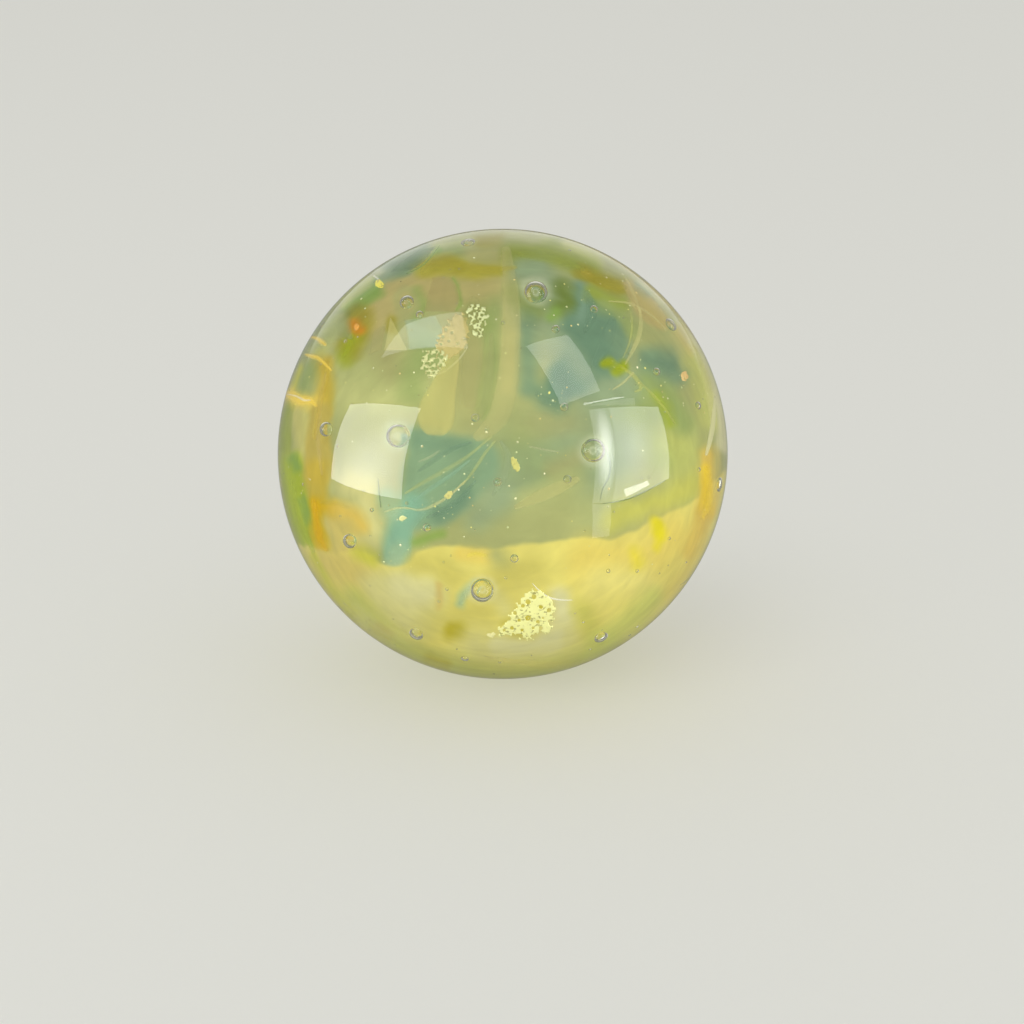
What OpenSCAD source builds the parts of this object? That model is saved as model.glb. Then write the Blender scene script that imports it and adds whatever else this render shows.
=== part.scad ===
// Glass marble: a solid ball of clear glass, cased over a heart of two opal
// glasses. Between the heart and the clear skin lie thin veils of coloured
// glass, drawn threads and flakes of gold foil, each kind at its own depth,
// and the skin holds round air bubbles.
// Millimetres. The origin is the ball's centre, +Z is up, and the best side
// of the swirl faces -Y. A place in the glass is an azimuth, from -Y towards
// +X, and an elevation. A length along a layer is an angle at the centre, so
// that a patch keeps its share of the ball.

/* [Ball] */
// Diameter of the finished ball
ball_d = 36; // [30:1:50]

/* [Bubbles] */
// Clear glass between the ball's surface and the nearest bubble
bubble_cover = 0.35; // [0.2:0.05:0.8]
// Diameter of a large bubble
large_bubble_d = 1.7; // [1:0.1:2]
// Diameter of a middling bubble
medium_bubble_d = 1.1; // [0.7:0.1:1.6]
// Diameter of a small bubble
small_bubble_d = 0.6; // [0.3:0.1:1]

/* [Colour layers] */
// Clear glass between one layer and the next
layer_gap = 0.25; // [0.15:0.05:0.4]
// Thickness of a flake of foil
foil_t = 0.15; // [0.1:0.05:0.3]
// Diameter of a pinhole burnt through a large flake
pinhole_d = 0.35; // [0.25:0.05:0.5]
// Thickness of a veil of coloured glass
veil_t = 0.5; // [0.3:0.1:0.8]
// Diameter of a drawn glass thread
thread_d = 0.25; // [0.15:0.05:0.4]

/* [Opal heart] */
// Height of the bowl-shaped seam between the two opals, at the ball's axis
seam_z = -2.8; // [-5:0.2:2]
// Radius of the bowl-shaped seam
seam_bowl_r = 70; // [45:5:120]

/* [Hidden] */

ball_r = ball_d / 2;

// Each layer starts one gap below the layer over it
foil_depth = bubble_cover + max(large_bubble_d, medium_bubble_d, small_bubble_d) + layer_gap;
amber_depth = foil_depth + foil_t + layer_gap;
tan_depth = amber_depth + veil_t + layer_gap;
teal_depth = tan_depth + veil_t + layer_gap;
thread_depth = teal_depth + veil_t + layer_gap;
heart_r = ball_r - thread_depth - thread_d - layer_gap;

// Bubbles: [azimuth, elevation]
LARGE_BUBBLES = [[18, 62], [-28, 21], [24, 18], [-5, -17], [118, 24], [-152, 8], [164, -36], [-96, -24]];
MEDIUM_BUBBLES = [[33, -38], [76, 41], [-45, 55], [-72, 81], [72, -2], [-27, -35], [-41, -8], [-52, 18], [102, -22],
                  [146, 48], [-172, 30], [-132, 44], [-118, -50], [-70, -62], [60, -68], [138, 4]];
SMALL_BUBBLES = [[20, 49], [40, 53], [51, 33], [-34, 52], [-7, 27], [-1, 12], [3, -7], [17, 29], [16, 12], [-18, 0],
                 [-13, -44], [64, 21], [90, 8], [96, 52], [124, -44], [158, 16], [176, -8], [-160, -26], [-142, 22],
                 [-124, -8], [-106, 18], [-86, 38], [-62, -36], [-20, -72], [150, -70], [-150, 70], [88, -44]];

// Strokes of glass: [azimuth, elevation, roll, length, width, bow]
AMBER_STROKES = [[-2, 80, 0, 84, 9, 8], [-63, 8, 84, 62, 11, -7], [67, -3, 24, 40, 9, 6], [112, 40, 70, 58, 10, 9],
                 [158, -14, -30, 62, 11, 8], [-148, 36, 40, 56, 9, -8], [-120, -34, 10, 60, 12, 8],
                 [30, -62, -24, 50, 10, 7]];
TEAL_STROKES = [[-20, 2, 62, 50, 24, 8], [30, 48, 28, 46, 18, -6], [76, 24, -62, 40, 18, 7], [22, 8, 20, 40, 10, 5],
                [120, 6, 56, 60, 24, 9], [172, 40, -18, 58, 20, 8], [-158, -16, 66, 54, 22, -9],
                [-104, 26, 48, 56, 22, 8], [-74, 62, 10, 34, 14, 4]];

// Curtains of glass: [azimuth, elevation, roll, width, drop, folds]
TAN_CURTAINS = [[-24, 44, 4, 50, 44, 3], [52, 48, -22, 38, 36, 2], [134, 36, 12, 50, 46, 3], [-146, 34, -10, 54, 44, 3],
                [-92, 18, 16, 34, 46, 2], [92, -22, -14, 34, 36, 2], [-172, -34, 8, 44, 34, 3], [-58, -44, 20, 36, 30, 2]];

// Threads of glass: [azimuth, elevation, roll, length]
THREADS = [[-18, 13, 34, 36], [-14, 7, 42, 28], [-22, 17, 26, 24], [16, -26, -22, 22], [84, 42, 66, 44],
           [72, 34, 62, 30], [140, 12, -40, 46], [156, 4, -42, 34], [-164, 22, 36, 48], [-112, 4, -60, 40],
           [-102, -8, -62, 30], [-130, -42, 24, 38], [110, -34, 18, 36], [-40, 62, -20, 30]];

// Large flakes, with pinholes: [azimuth, elevation, roll, length, width, pinholes]
LARGE_FLAKES = [[-19, 47, 62, 26, 11, 16], [7, -29, 40, 21, 13, 12], [128, 30, -50, 22, 10, 12],
                [-134, -4, 30, 24, 11, 14], [-176, -46, 70, 20, 11, 12]];
// Small flakes: [azimuth, elevation, roll, length, width]
SMALL_FLAKES = [[3, 15, 60, 4, 2], [-17, 5, 30, 5, 1.6], [-70, 63, 10, 5, 3], [77, 28, 40, 4, 2.6], [40, 34, 0, 4, 3],
                [-76, 40, 45, 4, 3], [10, 10, 20, 2.6, 2], [104, 0, 15, 4, 2], [162, 20, 75, 5, 2.4],
                [-158, 50, 0, 4, 3], [-90, -6, 55, 5, 2], [56, -48, 30, 4, 2.4]];

// Drawing steps along half of an outline, round one scallop, and round a flake
stroke_steps = 9;
scallop_steps = 6;
flake_steps = 28;
// Share of a curtain's width that is gathered at its top, and of its drop that its hem's scallops take
gather = 0.45;
scallop = 0.16;
// The golden angle spreads pinholes evenly over a flake
golden_angle = 137.5;
// Share of a flake that pinholes keep to
pinhole_field = 0.62;

ball_fn = 128;
bubble_fn = 40;
thread_fn = 24;

// Turns what faces -Y to a place in the glass
module aim(azimuth, elevation) {
  rotate([-elevation, 0, azimuth]) children();
}

// Glass from one depth below the surface to another
module layer(depth, thickness) {
  difference() {
    sphere(ball_r - depth, $fn = ball_fn);
    sphere(ball_r - depth - thickness, $fn = ball_fn);
  }
}

// The part of a layer behind an upright outline, at a place and a roll
module patch(place, depth, thickness) {
  aim(place[0], place[1])
    intersection() {
      layer(depth, thickness);
      rotate([90, 0, 0]) rotate(place[2]) linear_extrude(ball_r) children();
    }
}

// A point at two angles from the middle of a patch, seen straight on
function seen(r, across, up) = [r * sin(across), r * sin(up)];

// Side of a stroke: its centre line is a shallow bow, and it swells from a pointed tip to its middle and back
function stroke_side(r, length, width, bow, side, steps) =
  [for (i = steps) let (s = i / stroke_steps, off = 1 - pow(2 * s - 1, 2))
    seen(r, length * (s - 0.5), bow * (off - 0.5) + side * width / 2 * sin(180 * s))];

// Outline of a stroke of glass, pointed at both ends
module stroke(r, length, width, bow) {
  polygon(concat(stroke_side(r, length, width, bow, 1, [0:stroke_steps]),
                 stroke_side(r, length, width, bow, -1, [stroke_steps - 1:-1:1])));
}

// Outline of a hanging curtain: gathered along its top, with a hem of round scallops
module curtain(r, width, drop, folds) {
  hem = [for (i = [0:folds * scallop_steps]) let (s = i / (folds * scallop_steps))
    seen(r, width * (s - 0.5), drop * (-0.5 + scallop - scallop * abs(sin(180 * folds * s))))];
  polygon(concat(hem, [seen(r, width * gather / 2, drop / 2), seen(r, -width * gather / 2, drop / 2)]));
}

// Outline of a torn flake: an oval with a ragged edge
module flake(r, length, width) {
  polygon([for (i = [0:flake_steps - 1]) let (turn = 360 * i / flake_steps,
    ragged = 1 + 0.12 * sin(3 * turn) + 0.08 * sin(7 * turn + 40))
    seen(r, length / 2 * ragged * cos(turn), width / 2 * ragged * sin(turn))]);
}

// Pinholes over a flake, on a sunflower spiral
module pinholes(r, length, width, count) {
  for (i = [1:count]) let (reach = pinhole_field * sqrt(i / count), turn = golden_angle * i)
    translate(seen(r, length / 2 * reach * cos(turn), width / 2 * reach * sin(turn)))
      circle(d = pinhole_d, $fn = bubble_fn / 2);
}

// Round bubbles of one size, all just under the surface
module bubbles(places, d) {
  for (place = places) aim(place[0], place[1])
    translate([0, -(ball_r - bubble_cover - d / 2), 0]) sphere(d = d, $fn = bubble_fn);
}

// Strokes of one colour, all at one depth
module strokes(places, depth) {
  for (place = places) patch(place, depth, veil_t) stroke(ball_r - depth, place[3], place[4], place[5]);
}

module curtains(places, depth) {
  for (place = places) patch(place, depth, veil_t) curtain(ball_r - depth, place[3], place[4], place[5]);
}

// Threads lie along great circles of the ball
module threads() {
  thread_r = ball_r - thread_depth - thread_d / 2;
  for (place = THREADS) aim(place[0], place[1]) rotate([0, -place[2], 0]) rotate(-90 - place[3] / 2)
    rotate_extrude(angle = place[3], $fn = ball_fn) translate([thread_r, 0]) circle(d = thread_d, $fn = thread_fn);
}

module flakes() {
  r = ball_r - foil_depth;
  for (place = LARGE_FLAKES) patch(place, foil_depth, foil_t) difference() {
    flake(r, place[3], place[4]);
    pinholes(r, place[3], place[4], place[5]);
  }
  for (place = SMALL_FLAKES) patch(place, foil_depth, foil_t) flake(r, place[3], place[4]);
}

// The upper opal fills the bowl of the seam, and the lower one is what is left of the heart
module seam_bowl() {
  translate([0, 0, seam_z + seam_bowl_r]) sphere(seam_bowl_r, $fn = ball_fn);
}

module clear_casing() {
  color("aliceblue", 0.3) difference() {
    sphere(ball_r, $fn = ball_fn);
    sphere(heart_r, $fn = ball_fn);
    bubbles(LARGE_BUBBLES, large_bubble_d);
    bubbles(MEDIUM_BUBBLES, medium_bubble_d);
    bubbles(SMALL_BUBBLES, small_bubble_d);
    flakes();
    strokes(AMBER_STROKES, amber_depth);
    curtains(TAN_CURTAINS, tan_depth);
    strokes(TEAL_STROKES, teal_depth);
    threads();
  }
}

module green_opal() {
  color("darkseagreen") intersection() {
    sphere(heart_r, $fn = ball_fn);
    seam_bowl();
  }
}

module yellow_opal() {
  color("khaki") difference() {
    sphere(heart_r, $fn = ball_fn);
    seam_bowl();
  }
}

module teal_veils() {
  color("cadetblue") strokes(TEAL_STROKES, teal_depth);
}

module tan_curtains() {
  color("tan") curtains(TAN_CURTAINS, tan_depth);
}

module amber_veils() {
  color("goldenrod") strokes(AMBER_STROKES, amber_depth);
}

module glass_threads() {
  color("lemonchiffon") threads();
}

module foil_flakes() {
  color("gold") flakes();
}

clear_casing();
green_opal();
yellow_opal();
teal_veils();
tan_curtains();
amber_veils();
glass_threads();
foil_flakes();
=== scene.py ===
"""Looks of a swirled glass marble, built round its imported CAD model.

The ball is clear glass over a heart of two opal glasses. Thin films of coloured glass, drawn
threads and flakes of gold foil float in the clear glass between the two, each kind at its own
depth, and round bubbles sit just under the skin. The CAD nodes give the ball's size and the
depth of every layer. This file makes the shapes and finishes that the eye sees there.

Lengths are in millimetres until a mesh is written, which is in metres. A place on the best side
of the ball is written as it is seen through the clear glass, in picture elements of a square
picture 1024 wide, and a Sight turns it into a place in the glass. The other sides are written in
the same way, for the same eye gone round the ball.
"""

import logging
from dataclasses import dataclass, field
from enum import Enum

import bpy
import numpy as np
from bpy.types import Material, Node, NodeSocket, NodeTree, Object
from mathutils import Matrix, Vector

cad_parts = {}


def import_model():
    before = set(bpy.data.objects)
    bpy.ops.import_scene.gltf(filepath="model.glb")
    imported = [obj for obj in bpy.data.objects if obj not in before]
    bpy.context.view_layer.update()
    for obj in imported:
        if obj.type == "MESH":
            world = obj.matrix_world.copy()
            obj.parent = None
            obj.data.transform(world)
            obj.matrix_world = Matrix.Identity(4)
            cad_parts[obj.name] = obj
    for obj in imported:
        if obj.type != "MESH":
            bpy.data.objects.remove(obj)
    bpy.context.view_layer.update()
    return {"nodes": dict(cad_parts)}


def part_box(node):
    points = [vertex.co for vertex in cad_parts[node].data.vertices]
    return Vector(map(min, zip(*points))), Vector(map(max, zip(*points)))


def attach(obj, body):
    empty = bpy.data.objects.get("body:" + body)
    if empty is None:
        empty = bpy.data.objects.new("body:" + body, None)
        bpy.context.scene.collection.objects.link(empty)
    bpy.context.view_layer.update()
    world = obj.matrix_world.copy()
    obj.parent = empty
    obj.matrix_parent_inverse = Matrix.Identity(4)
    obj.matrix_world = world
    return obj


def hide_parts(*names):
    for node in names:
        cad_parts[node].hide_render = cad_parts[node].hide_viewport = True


LOG = logging.getLogger("marble")
MM = 0.001

# Index of borosilicate glass
GLASS_IOR = 1.47
# Width and height of the picture, and its elements to a millimetre of the ball
PICTURE = 1024
PX_PER_MM = 16.0
# Degrees to a millimetre, for films whose places are angles
DEGREES_PER_MM = 4.0
# How much softer a stroke's edge is under the milk
MILK_BLUR = 1.35
# Share of the widest lean at which a sight line still enters the ball
GRAZE = 0.9995
# Least value that a length is divided by
TINY = 1e-9
# Shortest and longest wave of a ripple, as shares of its mean
WAVE_SPREAD = (0.6, 1.6)
WHITE = (1.0, 1.0, 1.0, 1.0)

# A place in the picture, two or three measures, and vertices with blocks of corner indices
Place = tuple[float, float]
Pair = tuple[float, float]
Triple = tuple[float, float, float]
Mesh = tuple[np.ndarray, list[np.ndarray]]


# ---------- Colour ----------

class Tint(Enum):
    """Colours of the melt, as sRGB hex values. A few stand for painted light and shade instead, as noted."""

    SEA = "#86A37C"
    SEA_BRIGHT = "#86B293"
    SEA_PALE = "#A5BF94"
    SEA_GREY = "#92A47C"
    SEA_DEEP = "#6E8E70"
    SEA_DARK = "#5E7E52"
    TEAL_GREY = "#7C9774"
    TEAL_BLUE = "#86A28A"
    TEAL_MIST = "#AABF9A"
    MOSS = "#6C8034"
    MOSS_GREY = "#86954E"
    LEAF = "#86A64C"
    LEAF_GREY = "#97A864"
    LIME = "#A9BA2C"
    LIME_DEEP = "#9CA81E"
    LIME_PALE = "#C2C66C"
    LIME_YELLOW = "#C8C844"
    OLIVE = "#A0962E"
    OLIVE_GREEN = "#97A440"
    OLIVE_GREY = "#AAAE70"
    # Painted light: a pale tint on the ring of reflected light at a bubble's wall
    BUBBLE_RING_TINT = "#F4F5DC"
    MUSTARD = "#B2AA3C"
    MUSTARD_BROWN = "#9E9628"
    KHAKI = "#A9A86A"
    TAN = "#BBAE6E"
    TAN_GREY = "#A6A56A"
    TAN_PALE = "#BCB976"
    TAN_BROWN = "#ABA368"
    MAUVE = "#A2955E"
    SAGE = "#B0B574"
    SAGE_PALE = "#BDC07C"
    STRAW = "#C8C272"
    STRAW_GREEN = "#C8C65E"
    CREAM = "#D9D48C"
    CREAM_PALE = "#DEDBA6"
    CREAM_GREY = "#C3C392"
    BUTTER = "#E2D774"
    BUTTER_PALE = "#E9DF84"
    BUTTER_WARM = "#E6D066"
    BUTTER_DULL = "#CFC566"
    LEMON = "#E8DA24"
    LEMON_SPOT = "#BFB232"
    HONEY = "#DFC056"
    HONEY_BRIGHT = "#F0CE30"
    AMBER = "#C8B040"
    AMBER_DULL = "#C0AE54"
    AMBER_DEEP = "#DAAE00"
    ORANGE = "#D68C1E"
    PEACH = "#D4C26C"
    ROSE = "#C6AF7A"
    # Painted highlights: a yellow glint, and a near-white gleam
    GLINT = "#FFDC58"
    GLEAM = "#FDFCE8"
    WARM_EDGE = "#CDAA58"
    # Painted shade: a darker, greener band round the bottom of the heart
    BOTTOM_SHADE_GREEN = "#CACF6C"
    MIST = "#C2CAA4"


def shares(colour: str) -> np.ndarray:
    """An sRGB hex colour as shares from 0 to 1, in which strokes are laid over each other."""
    return np.array([int(colour[i : i + 2], 16) for i in (1, 3, 5)]) / 255.0


def to_linear(share: np.ndarray) -> np.ndarray:
    """sRGB shares turned linear: a straight foot, then a 2.4 power."""
    return np.where(share <= 0.04045, share / 12.92, ((share + 0.055) / 1.055) ** 2.4)


def linear(colour: str) -> tuple[float, ...]:
    """An sRGB hex colour as the linear red, green and blue that shaders take, and an alpha of 1."""
    return (*to_linear(shares(colour)).tolist(), 1.0)


# ---------- Curves and noise ----------

def unit(vectors: np.ndarray) -> np.ndarray:
    """Each row divided by its length."""
    return vectors / np.linalg.norm(vectors, axis=-1, keepdims=True)


def ease(share: np.ndarray) -> np.ndarray:
    """A share from 0 to 1 with level ends: three squares less two cubes."""
    held = np.clip(share, 0.0, 1.0)
    return held * held * (3.0 - 2.0 * held)


def spline(points: np.ndarray, steps: int, closed: bool = False) -> np.ndarray:
    """Runs a smooth curve through points.

    Each span is the cubic that meets its two ends, with a slope at each end of half the step
    between that end's neighbours.

    Args:
        points: Rows of any width, at least two, or three where the curve is closed.
        steps: How many rows to return.
        closed: Whether the last point runs on to the first, which isn't returned twice.

    Returns:
        Rows evenly spaced from point to point.
    """
    if closed:
        ends = np.vstack([points[-1], points, points[0], points[1]])
    else:
        ends = np.vstack([2 * points[0] - points[1], points, 2 * points[-1] - points[-2]])
    place = np.linspace(0, len(ends) - 3, steps, endpoint=not closed)
    span = np.minimum(place.astype(int), len(ends) - 4)
    s = (place - span)[:, None]
    a, b, c, d = (ends[span + k] for k in range(4))
    return 0.5 * (2 * b + (c - a) * s + (2 * a - 5 * b + 4 * c - d) * s**2 + (3 * b - a - 3 * c + d) * s**3)


def ripple(places: np.ndarray, wavelength: float, seed: int, waves: int = 9) -> np.ndarray:
    """Smooth seeded noise: the sum of sine waves that cross in many directions.

    Args:
        places: Points, one a row.
        wavelength: Mean distance from crest to crest, in the points' own unit.
        seed: Number that fixes the waves.
        waves: How many waves are summed.

    Returns:
        One value a point, mostly between -1 and 1.
    """
    draw = np.random.default_rng(seed)
    heading = unit(draw.normal(size=(waves, places.shape[1])))
    pace = 2 * np.pi / (wavelength * draw.uniform(*WAVE_SPREAD, waves))
    phase = draw.uniform(0, 2 * np.pi, waves)
    return np.sin(places @ (heading * pace[:, None]).T + phase).sum(axis=1) / np.sqrt(waves)


def gap_to_line(places: np.ndarray, line: np.ndarray, half: np.ndarray) -> np.ndarray:
    """Distance from each place to a band drawn along a line, below zero inside it.

    Args:
        places: Points in the picture, one a row.
        line: The band's middle line, as points.
        half: Half the band's width at each of those points.

    Returns:
        One distance a place, the least over the line's spans.
    """
    start, step = line[:-1], np.diff(line, axis=0)
    away = places[:, None] - start
    along = np.clip((away * step).sum(2) / np.maximum((step * step).sum(1), TINY), 0, 1)
    width = half[:-1] + along * np.diff(half)
    return (np.linalg.norm(away - along[..., None] * step, axis=2) - width).min(axis=1)


def inside_ring(places: np.ndarray, ring: np.ndarray) -> np.ndarray:
    """Whether each place is in a closed ring: a line from it crosses the ring an odd number of times."""
    start, end = ring, np.roll(ring, -1, axis=0)
    x, y = places[:, :1], places[:, 1:]
    spans = (start[:, 1] > y) != (end[:, 1] > y)
    rise = np.where(end[:, 1] == start[:, 1], TINY, end[:, 1] - start[:, 1])
    cut = start[:, 0] + (y - start[:, 1]) * (end[:, 0] - start[:, 0]) / rise
    return (spans & (x < cut)).sum(axis=1) % 2 == 1


def gap_to_ring(places: np.ndarray, ring: np.ndarray) -> np.ndarray:
    """Distance from each place to a closed ring, below zero inside it."""
    loop = np.vstack([ring, ring[:1]])
    gap = gap_to_line(places, loop, np.zeros(len(loop)))
    return np.where(inside_ring(places, ring), -gap, gap)


# ---------- The eye ----------

@dataclass(frozen=True)
class Sight:
    """An eye that looks at the ball, and the bending of its sight lines at the clear skin.

    Attributes:
        azimuth: How far the eye has gone round the ball from its best side, in degrees.
        pitch: How far the eye looks down, in degrees.
        focal: Distance from the eye to the picture, in picture elements.
        middle: Where the ball's centre is seen in the picture.
        radius: The ball's radius.
        distance: From the eye to the ball's centre.
        ladder: How many sight lines are tried to find the one that meets a place.
    """

    azimuth: float = 0.0
    pitch: float = 20.1
    focal: float = 2000.0
    middle: Place = (502.8, 454.6)
    radius: float = 18.0
    distance: float = 161.08
    ladder: int = 400

    def axes(self) -> tuple[np.ndarray, np.ndarray, np.ndarray]:
        """The eye's right, down and forward, each a unit vector."""
        turn, dip = np.radians(self.azimuth), np.radians(self.pitch)
        right = np.array([np.cos(turn), np.sin(turn), 0.0])
        level = np.array([-np.sin(turn), np.cos(turn), 0.0])
        up = np.array([0.0, 0.0, 1.0])
        forward = np.cos(dip) * level - np.sin(dip) * up
        down = -np.sin(dip) * level - np.cos(dip) * up
        return right, down, forward

    def lines(self, picture: np.ndarray) -> np.ndarray:
        """Unit sight lines through places in the picture."""
        right, down, forward = self.axes()
        off = (np.atleast_2d(picture) - PICTURE / 2) / self.focal
        return unit(forward + off[:, :1] * right + off[:, 1:] * down)

    def axis(self) -> np.ndarray:
        """Unit vector from the eye to the ball's centre."""
        return self.lines(np.array(self.middle))[0]

    def eye(self) -> np.ndarray:
        """Where the eye is."""
        return -self.distance * self.axis()

    def bend(self, lean: np.ndarray, depth_radius: float) -> np.ndarray:
        """Works out how far round the glass a sight line comes out.

        A line that leans off the axis strikes the skin, bends towards the centre by the glass's
        index, and runs straight on to the sphere of the asked radius.

        Args:
            lean: Angles between the lines and the axis, in radians.
            depth_radius: Radius of the sphere that the line is followed to.

        Returns:
            Angles at the ball's centre between the eye and the place reached, in radians.
        """
        strike = np.arcsin(np.clip(self.distance * np.sin(lean) / self.radius, -1, 1))
        bent = np.arcsin(np.sin(strike) / GLASS_IOR)
        reach = np.arcsin(np.clip(self.radius * np.sin(bent) / depth_radius, -1, 1))
        return strike - lean + reach - bent

    def widest(self) -> float:
        """The lean of a line that only grazes the ball."""
        return float(np.arcsin(self.radius / self.distance))

    def onto(self, picture: np.ndarray, depth_radius: float) -> np.ndarray:
        """Places on a sphere inside the glass that are seen at places in the picture.

        Args:
            picture: Places in the picture, one a row.
            depth_radius: Radius of the sphere.

        Returns:
            Points in millimetres, one a row.
        """
        axis, line = self.axis(), self.lines(picture)
        lean = np.minimum(np.arccos(np.clip(line @ axis, -1, 1)), GRAZE * self.widest())
        aside = unit(line - (line @ axis)[:, None] * axis)
        turn = self.bend(lean, depth_radius)[:, None]
        return depth_radius * (-np.cos(turn) * axis + np.sin(turn) * aside)

    def seen(self, points: np.ndarray) -> tuple[np.ndarray, np.ndarray]:
        """Where points in the glass are seen in the picture.

        Args:
            points: Points at one distance from the ball's centre.

        Returns:
            Places in the picture, and the angle of each point round from the eye in radians.
            What is too far round to be seen is given the place of the rim next to it.
        """
        axis, outward = self.axis(), unit(points)
        turn = np.arccos(np.clip(-(outward @ axis), -1, 1))
        ladder = np.linspace(0, GRAZE * self.widest(), self.ladder)
        lean = np.interp(turn, self.bend(ladder, float(np.linalg.norm(points[0]))), ladder)
        aside = outward - (outward @ axis)[:, None] * axis
        aside /= np.maximum(np.linalg.norm(aside, axis=1, keepdims=True), TINY)
        line = np.cos(lean)[:, None] * axis + np.sin(lean)[:, None] * aside
        right, down, forward = self.axes()
        ahead = (line @ forward)[:, None]
        place = np.stack([line @ right, line @ down], axis=1) / ahead * self.focal + PICTURE / 2
        return place, turn

    def mirrored(self, picture: np.ndarray, away: float) -> np.ndarray:
        """Points that the ball's skin reflects to the eye.

        A sight line strikes the skin and leaves it at the same angle on the other side of the
        skin's normal.

        Args:
            picture: Places in the picture where the reflection is seen.
            away: How far from the skin the points are.

        Returns:
            Points in millimetres, one a row.
        """
        line, eye = self.lines(picture), self.eye()
        ahead = line @ eye
        near = -ahead - np.sqrt(np.maximum(ahead**2 - eye @ eye + self.radius**2, 0.0))
        skin = eye + near[:, None] * line
        normal = skin / self.radius
        return skin + away * (line - 2 * (line * normal).sum(1, keepdims=True) * normal)


@dataclass(frozen=True)
class Facing:
    """Looks squarely at one place on the ball, with places given as angles across and down from it.

    Attributes:
        azimuth: Azimuth of the place, from -Y towards +X, in degrees.
        elevation: Its elevation.
        roll: How far what is seen is turned anticlockwise.
    """

    azimuth: float
    elevation: float
    roll: float

    def onto(self, picture: np.ndarray, depth_radius: float) -> np.ndarray:
        """Places on a sphere inside the glass. An angle's sine is the share of the radius.

        Args:
            picture: Angles across and down, in degrees, one place a row.
            depth_radius: Radius of the sphere.

        Returns:
            Points in millimetres, one a row.
        """
        turn, up, roll = np.radians((self.azimuth, self.elevation, self.roll))
        across, down = np.sin(np.radians(picture)).T
        x = across * np.cos(roll) + down * np.sin(roll)
        z = across * np.sin(roll) - down * np.cos(roll)
        near = np.sqrt(np.maximum(1 - x**2 - z**2, 0))
        level, height = near * np.cos(up) - z * np.sin(up), near * np.sin(up) + z * np.cos(up)
        ball = (x * np.cos(turn) + level * np.sin(turn), x * np.sin(turn) - level * np.cos(turn), height)
        return depth_radius * np.stack(ball, axis=-1)


# ---------- Meshes ----------

def grid_faces(rows: int, columns: int, closed: bool) -> np.ndarray:
    """Four-cornered faces of a grid of vertices.

    Args:
        rows: Rows of vertices.
        columns: Vertices in a row.
        closed: Whether the last column meets the first.

    Returns:
        Corner indices, one face a row, facing along row step cross column step.
    """
    across = np.arange(columns if closed else columns - 1)
    down = np.arange(rows - 1)[:, None] * columns
    near, far = down + across, down + (across + 1) % columns
    return np.stack([near, near + columns, far + columns, far], axis=-1).reshape(-1, 4)


def tipped_faces(rows: int, columns: int) -> list[np.ndarray]:
    """Faces of closed rings of vertices, with a tip before the first ring and one after the last.

    Args:
        rows: How many rings.
        columns: Vertices in a ring. The two tips come after all the rings.

    Returns:
        Arrays of corner indices, which face along ring step cross column step.
    """
    ring = np.arange(columns)
    after = np.roll(ring, -1)
    last = (rows - 1) * columns
    first_tip = np.stack([np.full(columns, rows * columns), ring, after], axis=-1)
    last_tip = np.stack([np.full(columns, rows * columns + 1), after + last, ring + last], axis=-1)
    return [grid_faces(rows, columns, closed=True), first_tip, last_tip]


@dataclass
class Shell:
    """Vertices and faces on their way into one mesh.

    Attributes:
        points: Blocks of vertices, in millimetres.
        faces: Blocks of corner indices.
        values: Blocks of vertex values, by attribute name.
        count: How many vertices there are so far.
    """

    points: list[np.ndarray] = field(default_factory=list)
    faces: list[np.ndarray] = field(default_factory=list)
    values: dict[str, list[np.ndarray]] = field(default_factory=dict)
    count: int = 0

    def add(self, points: np.ndarray, faces: list[np.ndarray], **values: np.ndarray) -> None:
        """Takes in one block, with its faces counted from its own first vertex.

        Args:
            points: Vertices, one a row.
            faces: Arrays of corner indices.
            **values: A number, a place or a colour for each vertex, by attribute name.
        """
        self.points.append(points)
        self.faces += [block + self.count for block in faces if len(block)]
        for name, value in values.items():
            self.values.setdefault(name, []).append(value)
        self.count += len(points)

    def piece(self, name: str, finish: Material) -> Object:
        """Makes the object, smooth shaded and at the origin.

        Args:
            name: Name of the object and its mesh.
            finish: Its material.

        Returns:
            The object, in the scene.
        """
        mesh = bpy.data.meshes.new(name)
        corners = [corner for block in self.faces for corner in block.tolist()]
        mesh.from_pydata((np.vstack(self.points) * MM).tolist(), [], corners)
        kinds = {1: ("FLOAT", "value"), 3: ("FLOAT_VECTOR", "vector"), 4: ("FLOAT_COLOR", "color")}
        for key, blocks in self.values.items():
            value = np.concatenate(blocks).astype(np.float32)
            kind, slot = kinds[1 if value.ndim == 1 else value.shape[1]]
            mesh.attributes.new(key, kind, "POINT").data.foreach_set(slot, value.ravel())
        mesh.shade_smooth()
        mesh.materials.append(finish)
        made = bpy.data.objects.new(name, mesh)
        bpy.context.scene.collection.objects.link(made)
        return made


def place_piece(piece: Object, node: str) -> Object:
    """Lets a piece stand for a CAD node: hangs it on the root body and hides the node.

    Args:
        piece: The piece.
        node: The CAD node that it replaces.

    Returns:
        The same piece.
    """
    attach(piece, "root")
    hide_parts(node)
    LOG.info("%s: %d faces, for %s", piece.name, len(piece.data.polygons), node)
    return piece


def direction(azimuth: np.ndarray, elevation: np.ndarray) -> np.ndarray:
    """Unit vectors at azimuths from -Y towards +X and elevations, in radians."""
    level = np.cos(elevation)
    return np.stack([level * np.sin(azimuth), -level * np.cos(azimuth), np.sin(elevation)], axis=-1)


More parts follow.
